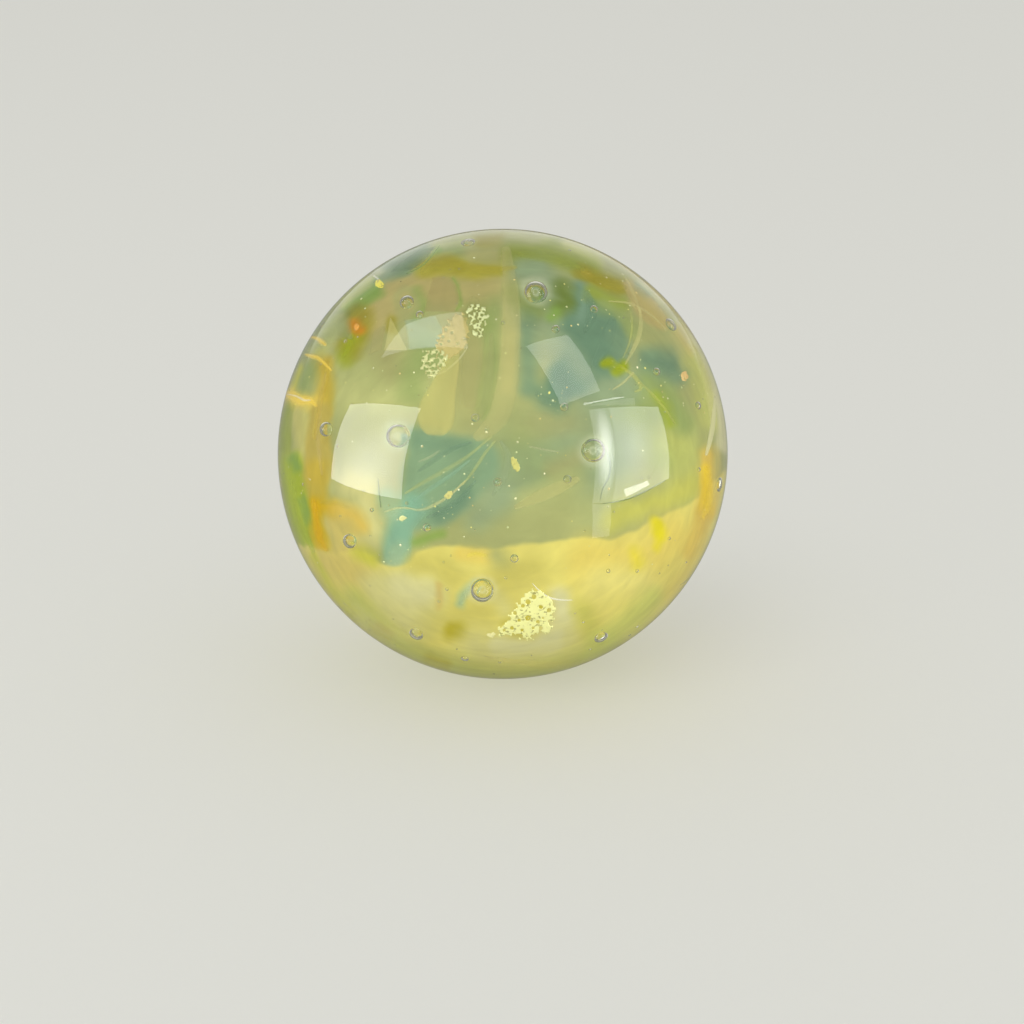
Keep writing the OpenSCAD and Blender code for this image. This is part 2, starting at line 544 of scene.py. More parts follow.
def globe(radius: float, columns: int, rows: int, inward: bool = False) -> Mesh:
    """A closed sphere: rings of equal elevation between two poles.

    Args:
        radius: The sphere's radius.
        columns: Vertices in a ring.
        rows: Rings between the poles.
        inward: Whether the faces point to the centre, as the wall of a hollow does.

    Returns:
        Vertices about the origin, and arrays of corner indices.
    """
    elevation = np.linspace(np.pi / 2, -np.pi / 2, rows + 2)[1:-1]
    azimuth = np.arange(columns) * 2 * np.pi / columns
    around, height = np.meshgrid(azimuth, elevation)
    ball = direction(around.ravel(), height.ravel())
    points = radius * np.vstack([ball, [[0, 0, 1], [0, 0, -1]]])
    faces = tipped_faces(rows, columns)
    return points, [block[:, ::-1] for block in faces] if inward else faces


# ---------- Painting the melt ----------

# How long the line is that a round spot is drawn with
DOT = 0.01
# Width, softness and strength of the painted pale ring of light round a bubble, and of the melt that shows in
# its middle
HALO_LIGHT, CORE = (30, 8, 0.65), (14, 6, 0.6)
# Steps of a smooth line to each place that it is given by: a stroke's, and a flake's edge
PATH_STEPS = 6
EDGE_STEPS = 8


@dataclass(frozen=True)
class Stroke:
    """A run or a pool of coloured glass in the melt, as it is seen from one side.

    Attributes:
        tint: Its colour.
        path: Places in the picture along its middle, or round the edge of a pool.
        width: Its width in picture elements, or none for a pool.
        soft: Distance over which its edge fades.
        strength: How much of what lies under it is hidden.
    """

    tint: Tint
    path: tuple[Place, ...]
    width: float
    soft: float
    strength: float

    def cover(self, places: np.ndarray) -> np.ndarray:
        """Share of each place that the stroke hides.

        The share falls from full to none over the soft edge, with level ends.

        Args:
            places: Places in the picture, one a row.

        Returns:
            One share a place.
        """
        points = np.array(self.path, float)
        pool = self.width == 0
        if len(points) == 1:
            points = np.vstack([points, points + DOT])
        line = spline(points, PATH_STEPS * len(points), closed=pool)
        margin = self.soft + self.width
        low, high = line.min(axis=0) - margin, line.max(axis=0) + margin
        near = np.flatnonzero(((places > low) & (places < high)).all(axis=1))
        if pool:
            gap = gap_to_ring(places[near], line)
        else:
            gap = gap_to_line(places[near], line, np.full(len(line), self.width / 2))
        cover = np.zeros(len(places))
        cover[near] = self.strength * ease(0.5 - gap / self.soft)
        return cover


def run(tint: Tint, width: float, soft: float, strength: float, *path: Place) -> Stroke:
    """A stroke along a line, whose edge the milk softens. The arguments are the Stroke's own."""
    return Stroke(tint, path, width, MILK_BLUR * soft, strength)


def painted_halo(rim: Tint, core: Tint, middle: Place) -> tuple[Stroke, Stroke]:
    """A painted pale ring of light round a large bubble, and the melt that shows through it."""
    return run(rim, *HALO_LIGHT, middle), run(core, *CORE, middle)


def pool(tint: Tint, soft: float, strength: float, *edge: Place) -> Stroke:
    """A stroke that fills a closed edge. The arguments are the Stroke's own."""
    return Stroke(tint, edge, 0.0, soft, strength)


@dataclass(frozen=True)
class Side:
    """What is painted on the heart as seen from one azimuth.

    Attributes:
        azimuth: Where the eye stands.
        strokes: The strokes, the deepest first.
        reach: Angle round from the eye at which the painting starts to fade, in degrees.
        fade: Angle over which it fades out.
        sway: How far the strokes are pulled about by the stirring of the melt.
        eddies: For the broad and the fine stirring, its share, its width in mm and its seeds.
    """

    azimuth: float
    strokes: tuple[Stroke, ...]
    reach: float
    fade: float
    sway: float = 1.6
    eddies: tuple[tuple[float, float, int, int], ...] = ((1.0, 3.1, 11, 12), (0.3, 1.0, 13, 14))

    def paint(self, points: np.ndarray, colours: np.ndarray, radius: float) -> np.ndarray:
        """Lays the strokes over the colours that are there.

        Args:
            points: Points at one distance from the ball's centre.
            colours: Their sRGB shares.
            radius: The ball's radius.

        Returns:
            The new sRGB shares.
        """
        place, turn = Sight(azimuth=self.azimuth, radius=radius).seen(points)
        stir = sum(
            share * np.stack([ripple(points, width, across), ripple(points, width, down)], axis=1)
            for share, width, across, down in self.eddies
        )
        place = place + self.sway * stir
        shown = ease(1 - (np.degrees(turn) - self.reach) / self.fade)
        out = colours.copy()
        for stroke in self.strokes:
            cover = (stroke.cover(place) * shown)[:, None]
            out = out * (1 - cover) + shares(stroke.tint.value) * cover
        return out


# ---------- Finishes ----------

# Matt: the clear glass over it gives the gloss
MATT = {"Roughness": 1.0, "Specular IOR Level": 0.0}
# Where nearly all the values of a noise lie
NOISE_SPAN = {"From Min": 0.3, "From Max": 0.7}


def add(tree: NodeTree, kind: str, links: dict | None = None, **settings: object) -> Node:
    """Adds a node, sets it up and joins it.

    Args:
        tree: The node tree.
        kind: The node's type, without the ShaderNode that it starts with.
        links: By input name or number, a socket to join to it or a value to give it.
        **settings: The node's own properties.

    Returns:
        The node.
    """
    node = tree.nodes.new(f"ShaderNode{kind}")
    for name, value in settings.items():
        setattr(node, name, value)
    for name, value in (links or {}).items():
        if isinstance(value, NodeSocket):
            tree.links.new(value, node.inputs[name])
        else:
            node.inputs[name].default_value = value
    return node


def wide(size_mm: float) -> float:
    """Scale of a pattern on Object coordinates whose marks are so many millimetres wide."""
    return 1 / size_mm / MM


def clear_for(tree: NodeTree, surface: NodeSocket, *rays: str) -> NodeSocket:
    """Lets some kinds of ray straight through a surface.

    Args:
        tree: The node tree.
        surface: The shader that all other rays meet.
        *rays: Names of the Light Path node's outputs.

    Returns:
        The joined shader.
    """
    path = add(tree, "LightPath")
    through = add(tree, "BsdfTransparent").outputs[0]
    for ray in rays:
        surface = add(tree, "MixShader", {0: path.outputs[ray], 1: surface, 2: through}).outputs[0]
    return surface


@dataclass(frozen=True)
class Finish:
    """How a surface looks.

    Attributes:
        name: The material's name.
    """

    name: str

    def surface(self, tree: NodeTree) -> NodeSocket:
        """Adds the nodes of the look, and gives the shader that they end in."""
        raise NotImplementedError

    def material(self) -> Material:
        """Makes the material."""
        made = bpy.data.materials.new(self.name)
        made.use_nodes = True
        made.node_tree.nodes.clear()
        add(made.node_tree, "OutputMaterial", {"Surface": self.surface(made.node_tree)})
        return made


@dataclass(frozen=True)
class ClearGlass(Finish):
    """Hand-worked borosilicate, fire polished: bright highlights, and a thin pale rim where it grazes.

    The lamps' light, and light that has already met the colours inside, pass straight through, as
    nearly all of it does in the real ball, so the heart is lit evenly and bubbles aren't black.

    Attributes:
        ior: Its index.
        edge: Colour that it takes where it is seen edge on, if any: a painted tint on the ring of reflected
            light at a bubble's wall.
        melt_wave_mm: Width of the faint waves that fire polishing leaves.
        melt_wave_rise_mm: Their height.
        melt_wave_strength: Their strength in the bump.
    """

    name: str = "clear_borosilicate"
    ior: float = GLASS_IOR
    edge: Tint | None = None
    melt_wave_mm: float = 5.0
    melt_wave_rise_mm: float = 0.2
    melt_wave_strength: float = 0.02

    def surface(self, tree: NodeTree) -> NodeSocket:
        """The clear glass."""
        where = add(tree, "TexCoord").outputs["Object"]
        waves = {"Vector": where, "Scale": wide(self.melt_wave_mm), "Detail": 1.0}
        rise = {"Height": add(tree, "TexNoise", waves).outputs["Fac"], "Strength": self.melt_wave_strength}
        bump = add(tree, "Bump", rise | {"Distance": self.melt_wave_rise_mm * MM}).outputs["Normal"]
        clear = {"Color": WHITE, "Roughness": 0.0, "IOR": self.ior, "Normal": bump}
        if self.edge:
            slant = add(tree, "LayerWeight", {"Blend": 0.5}).outputs["Facing"]
            mix = {"Factor": slant, "A": WHITE, "B": linear(self.edge.value)}
            clear["Color"] = add(tree, "Mix", mix, data_type="RGBA").outputs["Result"]
        glass = add(tree, "BsdfGlass", clear).outputs[0]
        return clear_for(tree, glass, "Is Shadow Ray", "Is Reflection Ray")


@dataclass(frozen=True)
class OpalGlass(Finish):
    """Milky opal glass, stirred while soft: matt inside the clear, with soft clouds in its colour.

    Attributes:
        cloud_mm: Width of the clouds in the milk.
        cloud_share: How far the clouds lighten and darken it.
        wisp_mm: Width of the fine wisps that the stirring draws out.
        wisp_share: How far the wisps lighten and darken it.
        wisp_turn: Which way the wisps are drawn, as turns about the axes.
        wisp_draw: How much they are squeezed along each axis.
        swirl: How far clouds and wisps curl.
    """

    cloud_mm: float = 5.0
    cloud_share: float = 0.06
    wisp_mm: float = 0.9
    wisp_share: float = 0.06
    wisp_turn: Triple = (0.5, 0.9, 0.3)
    wisp_draw: Triple = (0.35, 1.0, 0.55)
    swirl: float = 0.5

    def surface(self, tree: NodeTree) -> NodeSocket:
        """The opal glass, whose colour is the painted tint under the clouds and wisps."""
        milk = add(tree, "Attribute", attribute_name="tint").outputs["Color"]
        where = add(tree, "TexCoord").outputs["Object"]
        turned = {"Vector": where, "Rotation": self.wisp_turn, "Scale": self.wisp_draw}
        drawn = add(tree, "Mapping", turned).outputs[0]
        for size, share, place, detail in (
            (self.cloud_mm, self.cloud_share, where, 2.0),
            (self.wisp_mm, self.wisp_share, drawn, 3.0),
        ):
            marks = {"Vector": place, "Scale": wide(size), "Detail": detail, "Distortion": self.swirl}
            noise = {"Value": add(tree, "TexNoise", marks).outputs["Fac"]}
            lift = add(tree, "MapRange", NOISE_SPAN | noise | {"To Min": 1 - share, "To Max": 1 + share})
            milk = add(tree, "VectorMath", {0: milk, "Scale": lift.outputs[0]}, operation="SCALE").outputs[0]
        return add(tree, "BsdfPrincipled", MATT | {"Base Color": milk}).outputs[0]


@dataclass(frozen=True)
class FilmGlass(Finish):
    """Coloured glass drawn out to a film: part see-through, with streaks along the way it was drawn.

    Attributes:
        streak_mm: Width of its streaks.
        streak_run: How many times longer than wide they are.
        streak_share: How far the streaks lighten and darken it.
        thin_share: How much thinner it is between streaks.
    """

    streak_mm: float = 0.9
    streak_run: float = 7.0
    streak_share: float = 0.04
    thin_share: float = 0.3

    def surface(self, tree: NodeTree) -> NodeSocket:
        """The film, whose colour and cover are its own attributes under the streaks."""
        tint = add(tree, "Attribute", attribute_name="tint").outputs["Color"]
        cover = add(tree, "Attribute", attribute_name="cover").outputs["Fac"]
        flow = add(tree, "Attribute", attribute_name="flow").outputs["Vector"]
        drawn = add(tree, "Mapping", {"Vector": flow, "Scale": (1 / self.streak_run, 1, 1)}).outputs[0]
        streaks = {"Vector": drawn, "Scale": 1 / self.streak_mm, "Detail": 2.5, "Distortion": 0.3}
        span = NOISE_SPAN | {"Value": add(tree, "TexNoise", streaks).outputs["Fac"]}
        most = 1 + self.streak_share
        lift = add(tree, "MapRange", span | {"To Min": 1 - self.streak_share, "To Max": most}).outputs[0]
        thick = add(tree, "MapRange", span | {"To Min": 1 - self.thin_share, "To Max": 1.0}).outputs[0]
        colour = add(tree, "VectorMath", {0: tint, "Scale": lift}, operation="SCALE").outputs[0]
        alpha = add(tree, "Math", {0: cover, 1: thick}, operation="MULTIPLY").outputs[0]
        film = add(tree, "BsdfPrincipled", MATT | {"Base Color": colour, "Alpha": alpha}).outputs[0]
        return clear_for(tree, film, "Is Shadow Ray", "Is Diffuse Ray")


@dataclass(frozen=True)
class GoldFoil(Finish):
    """Pale gold leaf fused into the glass: bright, with fine creases, and duller where it is scorched.

    Attributes:
        scorch: Colour of the scorched leaf.
        scorch_mm: Width of the scorched spots.
        scorch_span: Noise at which the scorching starts and at which it is full.
        scorch_most: How much of the leaf's own colour it hides at the full.
        metallic: How far it shines as metal does. It is kept low, so the leaf's pale, bright colour carries
            most of its shine as painted sheen.
        roughness: Roughness of the leaf.
    """

    name: str = "crumpled_gold_leaf"
    scorch: str = "#9C9648"
    scorch_mm: float = 0.28
    scorch_span: Pair = (0.56, 0.66)
    scorch_most: float = 0.8
    metallic: float = 0.2
    roughness: float = 0.42

    def surface(self, tree: NodeTree) -> NodeSocket:
        """The leaf, whose colour is its own attribute with scorched spots over it."""
        tint = add(tree, "Attribute", attribute_name="tint").outputs["Color"]
        where = add(tree, "TexCoord").outputs["Object"]
        spots = add(tree, "TexNoise", {"Vector": where, "Scale": wide(self.scorch_mm), "Detail": 2.0})
        start, full = self.scorch_span
        span = {"Value": spots.outputs["Fac"], "From Min": start, "From Max": full}
        burnt = add(tree, "MapRange", span | {"To Min": 0.0, "To Max": self.scorch_most}).outputs[0]
        mix = {"Factor": burnt, "A": tint, "B": linear(self.scorch)}
        colour = add(tree, "Mix", mix, data_type="RGBA").outputs["Result"]
        leaf = {"Base Color": colour, "Metallic": self.metallic, "Roughness": self.roughness}
        shiny = add(tree, "BsdfPrincipled", leaf).outputs[0]
        return clear_for(tree, shiny, "Is Shadow Ray", "Is Diffuse Ray")


@dataclass(frozen=True)
class PaleFloor(Finish):
    """Matt paper sweep: pale, plain and even.

    Attributes:
        colour: The paper's colour.
        mirrored: Its colour in the ball's own reflections, as if the room were darker there.
        roughness: Roughness of the paper.
    """

    name: str = "paper_sweep"
    colour: str = "#EEEEEA"
    mirrored: str = "#A6A6A0"
    roughness: float = 0.9

    def surface(self, tree: NodeTree) -> NodeSocket:
        """The paper."""
        mirror = add(tree, "LightPath").outputs["Is Singular Ray"]
        mix = {"Factor": mirror, "A": linear(self.colour), "B": linear(self.mirrored)}
        colour = add(tree, "Mix", mix, data_type="RGBA").outputs["Result"]
        matt = {"Base Color": colour, "Roughness": self.roughness, "Specular IOR Level": 0.1}
        return add(tree, "BsdfPrincipled", matt).outputs[0]


@dataclass(frozen=True)
class SoftboxCloth(Finish):
    """White diffuser cloth with lamps behind it: even, and brighter in front of each lamp.

    Attributes:
        strength: How bright the cloth is, where white paper is about 1.
        lamps: For each lamp, its place across and down the cloth, its spread and its brightness.
    """

    strength: float
    lamps: tuple[tuple[float, float, float, float], ...] = ()

    def surface(self, tree: NodeTree) -> NodeSocket:
        """The lit cloth. Each lamp's glow falls off smoothly to nothing at its spread."""
        where = add(tree, "Attribute", attribute_name="cloth").outputs["Vector"]
        total = self.strength
        for across, down, spread, bright in self.lamps:
            away = add(tree, "VectorMath", {0: where, 1: (across, down, 0)}, operation="DISTANCE")
            glow = {"Value": away.outputs["Value"], "From Max": spread, "To Min": bright, "To Max": 0.0}
            lift = add(tree, "MapRange", glow, interpolation_type="SMOOTHSTEP").outputs[0]
            total = add(tree, "Math", {0: total, 1: lift}, operation="ADD").outputs[0]
        return add(tree, "Emission", {"Color": WHITE, "Strength": total}).outputs[0]


# ---------- Films of glass ----------

# A ribbon: vertices round it, its rows at least and at most, picture elements to a row, and
# steps of the fine line that its rows are set out on
RIBBON_SIDES = 24
RIBBON_ROWS = (24, 110)
RIBBON_ROW = 2.5
RIBBON_LINE = 400
# Least length of a ribbon's round end
ROUND_END = 1.0
# A pane: vertices round its edge, and rings from its middle over the edge and back
PANE_EDGE = 96
PANE_RINGS = 21
# Where a facet's edge is held to a straight side, as shares of the side
FACET_SHARES = (0.07, 0.5, 0.93)
# How far apart the streaks of two films lie in the pattern
STREAK_SHIFT = 7.3


@dataclass(frozen=True)
class Film:
    """A thin film of coloured glass, as it is seen from one side.

    Attributes:
        tint: Its colour.
        path: Places in the picture along its middle, or round the edge of a pane.
        widths: Its width at each place, or none for a pane.
        cover: Share of what lies behind that it hides at its thickest.
        soft: Share of the way in from its edge over which it thickens.
        grain: Angle of a pane's streaks, in degrees clockwise from level.
    """

    tint: Tint
    path: tuple[Place, ...]
    widths: tuple[float, ...]
    cover: float
    soft: float
    grain: float = 90.0

    def ribbon(self) -> tuple[np.ndarray, ...]:
        """A flat ellipse carried along the path, which narrows to a round end at both ends.

        Returns:
            Places in the picture by row and column, the two tips, how far each vertex is from the
            film's middle (0 to 1 at its edge), its height above it as a share of half the
            thickness, and its place along and across the streaks.
        """
        here, given = (np.linspace(0, 1, len(row)) for row in (self.path, self.widths))
        widths = np.interp(here, given, self.widths)
        length = float(np.linalg.norm(np.diff(np.array(self.path), axis=0), axis=1).sum())
        rows = int(np.clip(length / RIBBON_ROW, *RIBBON_ROWS))
        line = spline(np.column_stack([self.path, widths]), RIBBON_LINE)
        run_on = np.r_[0, np.cumsum(np.linalg.norm(np.diff(line[:, :2], axis=0), axis=1))]
        way = run_on[-1] * (1 - np.cos(np.linspace(0, np.pi, rows + 2))) / 2
        middle = np.column_stack([np.interp(way, run_on, line[:, k]) for k in range(3)])
        end = np.maximum(middle[:, 2] / 2, ROUND_END)
        short = 1 - np.clip(np.minimum(way, run_on[-1] - way) / end, 0, 1)
        full = np.sqrt(np.maximum(1 - short**2, 0))
        half = middle[:, 2] / 2 * full
        along = np.gradient(middle[:, :2], axis=0)
        side = unit(np.column_stack([along[:, 1], -along[:, 0]]))
        turn = np.linspace(0, 2 * np.pi, RIBBON_SIDES, endpoint=False)
        across = -np.cos(turn)
        places = middle[:, None, :2] + (half[:, None] * across)[..., None] * side[:, None]
        edge = np.maximum(np.abs(across)[None], short[:, None])
        height = np.sin(turn)[None] * full[:, None]
        flow = np.stack(np.broadcast_arrays(way[:, None], half[:, None] * across), axis=-1)
        return places[1:-1], middle[[0, -1], :2], edge[1:-1], height[1:-1], flow[1:-1]

    def pane(self) -> tuple[np.ndarray, ...]:
        """Rings from the middle out to the edge over the top, and back under it.

        The width of each ring goes as the sine of an angle, and its height as the cosine.

        Returns:
            The same as ribbon().
        """
        ring = spline(np.array(self.path, float), PANE_EDGE, closed=True)
        x, y = ring.T
        if (x * np.roll(y, -1) - np.roll(x, -1) * y).sum() > 0:
            ring = ring[::-1]
        centre = (ring.min(axis=0) + ring.max(axis=0)) / 2
        turn = np.linspace(0, np.pi, PANE_RINGS + 2)[1:-1]
        places = centre + np.sin(turn)[:, None, None] * (ring - centre)
        edge = np.repeat(np.sin(turn)[:, None], len(ring), axis=1)
        height = np.repeat(np.cos(turn)[:, None], len(ring), axis=1)
        tilt = np.radians(self.grain)
        flow = places @ np.array([[np.cos(tilt), -np.sin(tilt)], [np.sin(tilt), np.cos(tilt)]])
        return places, np.array([centre, centre]), edge, height, flow

    def lay(self, shell: Shell, view: Sight | Facing, radius: float, thickness: float, number: int) -> None:
        """Adds the film to a shell, bent round the ball.

        Args:
            shell: Where it goes.
            view: How its places are seen.
            radius: Distance of the film's middle from the ball's centre.
            thickness: Its thickness at its middle.
            number: Tells its streaks from another film's.
        """
        is_pane = not self.widths
        places, tips, edge, height, flow = self.pane() if is_pane else self.ribbon()
        rows, columns = places.shape[:2]
        flat = np.vstack([places.reshape(-1, 2), tips])
        edge = np.r_[edge.ravel(), [0.0, 0.0] if is_pane else [1.0, 1.0]]
        height = np.r_[height.ravel(), [1.0, -1.0] if is_pane else [0.0, 0.0]]
        flow = np.vstack([flow.reshape(-1, 2), flow[0, 0], flow[-1, 0]])
        flow /= PX_PER_MM if isinstance(view, Sight) else DEGREES_PER_MM
        depth = radius + height[:, None] * thickness / 2
        points = unit(view.onto(flat, radius)) * depth
        hidden = self.cover * ease((1 - edge) / self.soft)
        shell.add(
            points,
            tipped_faces(rows, columns),
            tint=np.tile(linear(self.tint.value), (len(points), 1)),
            cover=1 - np.sqrt(1 - hidden),
            flow=np.column_stack([flow, np.full(len(flow), STREAK_SHIFT * number)]),
        )


def ribbon(tint: Tint, widths: tuple[float, ...], cover: float, soft: float, *path: Place) -> Film:
    """A film along a line. The arguments are the Film's own."""
    return Film(tint, path, widths, cover, soft)


def pane(tint: Tint, cover: float, soft: float, grain: float, *edge: Place) -> Film:
    """A film that fills a closed edge. The arguments are the Film's own."""
    return Film(tint, edge, (), cover, soft, grain)


def facet(tint: Tint, cover: float, soft: float, grain: float, *edge: Place) -> Film:
    """A pane with straight sides and crisp corners. The arguments are the Film's own."""
    corner = np.array(edge, float)
    sides = zip(corner, np.roll(corner, -1, axis=0))
    points = [tuple(start + share * (end - start)) for start, end in sides for share in FACET_SHARES]
    return Film(tint, tuple(points), (), cover, soft, grain)


# Width of a sweep's pointed tips, in degrees, and steps along it
TIP_WIDTH = 0.3
SWEEP_STEPS = 9
# A curtain's top and sides as shares of its width and drop, where its hem starts and how far the
# scallops hang below that, and steps to a scallop
CURTAIN_TOP = (
    (0.42, 0.1), (0.29, -0.3), (0.22, -0.47), (0.0, -0.5), (-0.22, -0.47), (-0.29, -0.3), (-0.42, 0.1),
)
CURTAIN_HEM = (0.34, 0.16)
SCALLOP_STEPS = 6


def sweep(tint: Tint, cover: float, soft: float, place: tuple[float, ...]) -> tuple[Facing, Film]:
    """A stroke like the CAD's: a shallow bow that swells from a pointed tip to its middle and back.

    Args:
        tint: Its colour.
        cover: Share that it hides.
        soft: Share of its half width over which it thickens.
        place: Azimuth, elevation, roll, length, width and bow, in degrees.

    Returns:
        How it is seen, and the film.
    """
    azimuth, elevation, roll, length, width, bow = place
    share = np.linspace(0, 1, SWEEP_STEPS)
    off = 1 - (2 * share - 1) ** 2
    path = np.column_stack([length * (share - 0.5), -bow * (off - 0.5)])
    widths = width * np.sin(np.pi * share) + TIP_WIDTH
    return Facing(azimuth, elevation, roll), Film(tint, tuple(map(tuple, path)), tuple(widths), cover, soft)


def curtain(tint: Tint, cover: float, soft: float, place: tuple[float, ...]) -> tuple[Facing, Film]:
    """A curtain like the CAD's: gathered along its top, with a hem of round scallops.

    Args:
        tint: Its colour.
        cover: Share that it hides.
        soft: Share of the way in from its edge over which it thickens.
        place: Azimuth, elevation, roll, width, drop and folds, in degrees.

    Returns:
        How it is seen, and the film.
    """
    azimuth, elevation, roll, width, drop, folds = place
    share = np.linspace(0, 1, SCALLOP_STEPS * int(folds) + 1)
    low, deep = CURTAIN_HEM
    hem = drop * (low + deep * np.abs(np.sin(np.pi * folds * share)))
    edge = np.vstack([np.column_stack([width * (share - 0.5), hem]), np.array(CURTAIN_TOP) * (width, drop)])
    return Facing(azimuth, elevation, roll), Film(tint, tuple(map(tuple, edge)), (), cover, soft)


@dataclass
class FilmLayer:
    """All the films of one coloured glass, in one layer of the clear glass.

    Attributes:
        name: Name of the piece.
        node: CAD node that it replaces.
        slot: The record's material slot. It is not used.
        front: The films on the best side.
        rest: The films on the rest of the ball, each with how it is seen.
        layer: Least and greatest distance from the ball's centre.
        finish: Their glass.
        levels: How many depths they are shared over, so that films that cross don't touch.
        fill: How much of its depth a film fills at its middle.
    """

    name: str
    node: str
    slot: str
    front: tuple[Film, ...]
    rest: tuple[tuple[Facing, Film], ...]
    layer: Pair
    finish: FilmGlass
    levels: int = 5
    fill: float = 0.8

    def build(self) -> Object:
        """Makes the piece: each film a closed lens, at its own depth in the layer."""
        shell = Shell()
        inner, outer = self.layer
        step = (outer - inner) / self.levels
        placed = [(Sight(), film) for film in self.front] + list(self.rest)
        for number, (view, film) in enumerate(placed):
            film.lay(shell, view, inner + step * (number % self.levels + 0.5), self.fill * step, number)
        return place_piece(shell.piece(self.name, self.finish.material()), self.node)


# ---------- The ball ----------

# Bubbles: azimuth from -Y towards +X, and elevation, in degrees
LARGE_BUBBLES = ((18, 62), (-28, 21), (24, 18), (-5, -17), (118, 24), (-152, 8), (164, -36), (-96, -24))
MEDIUM_BUBBLES = (
    (33, -38), (76, 41), (-45, 55), (-72, 81), (72, -2), (-27, -35), (-41, -8), (-52, 18),
    (102, -22), (146, 48), (-172, 30), (-132, 44), (-118, -50), (-70, -62), (60, -68), (138, 4),
)
SMALL_BUBBLES = (
    (20, 49), (40, 53), (51, 33), (-34, 52), (-7, 27), (-1, 12), (3, -7), (17, 29), (16, 12),
    (-18, 0), (-13, -44), (64, 21), (90, 8), (96, 52), (124, -44), (158, 16), (176, -8), (-160, -26),
    (-142, 22), (-124, -8), (-106, 18), (-86, 38), (-62, -36), (-20, -72), (150, -70), (-150, 70),
    (88, -44),
)
# Each kind of bubble: its places, its diameter and the vertices round it
BUBBLES = ((LARGE_BUBBLES, 1.7, 48), (MEDIUM_BUBBLES, 1.1, 32), (SMALL_BUBBLES, 0.6, 20))
SPECK_SIDES = 10


@dataclass
class ClearCasing:
    """The clear ball, with its bubbles as hollows.

    Attributes:
        radius: The ball's radius.
        cover: Clear glass between the skin and the nearest bubble.
        columns: Vertices round the ball.
        rows: Rings of vertices from pole to pole.
        specks: How many tiny bubbles are scattered under the skin.
        speck_d: Smallest and largest diameter of those.
        speck_depth: How deep the tiny bubbles go.
        drawn: How much longer than wide the bubbles are a quarter turn from the best side.
        wall_ior: Index at a bubble's wall, lower than the glass's so that its ring of reflected light is
            narrow.
        seed: Fixes where they lie.
    """

    radius: float
    cover: float = 0.35
    columns: int = 320
    rows: int = 160
    specks: int = 190
    speck_d: Pair = (0.12, 0.34)
    speck_depth: float = 1.8
    drawn: float = 0.5
    wall_ior: float = 1.2
    seed: int = 5

    def hollow(self, shell: Shell, middle: np.ndarray, diameter: float, columns: int) -> None:
        """Adds one bubble, its wall facing its own middle. The working of the ball has drawn it out.

        Args:
            shell: Where it goes.
            middle: Its middle.
            diameter: Its least diameter.
            columns: Vertices round it.
        """
        points, faces = globe(diameter / 2, columns, columns // 2 - 1, inward=True)
        front, out = -Sight().axis(), unit(middle)
        away = front - (front @ out) * out
        points = points + self.drawn * (points @ away)[:, None] * away
        shell.add(points + middle, faces)

    def build(self) -> Object:
        """Makes the ball: a sphere, and a smaller sphere turned inside out for each bubble."""
        shell = Shell()
        shell.add(*globe(self.radius, self.columns, self.rows))
        skin = sum(len(block) for block in shell.faces)
        for places, diameter, columns in BUBBLES:
            for outward in direction(*np.radians(np.array(places, float)).T):
                self.hollow(shell, outward * (self.radius - self.cover - diameter / 2), diameter, columns)
        draw = np.random.default_rng(self.seed)
        outward = unit(draw.normal(size=(self.specks, 3)))
        low, high = self.speck_d
        diameters = low + (high - low) * draw.random(self.specks) ** 2
        depths = self.cover + self.speck_depth * draw.random(self.specks)
        for aim, diameter, depth in zip(outward, diameters, depths):
            self.hollow(shell, aim * (self.radius - depth), diameter, SPECK_SIDES)
        ball = shell.piece("clear_glass_ball", ClearGlass().material())
        # The bubble walls take a painted pale tint where seen edge on, on their rings of reflected light
        ball.data.materials.append(ClearGlass("bubble_wall", self.wall_ior, Tint.BUBBLE_RING_TINT).material())
        worn = np.ones(len(ball.data.polygons), np.int32)
        worn[:skin] = 0
        ball.data.polygons.foreach_set("material_index", worn)
        return place_piece(ball, "clear_casing")


# ---------- The heart ----------

# Short for the tables below
T = Tint

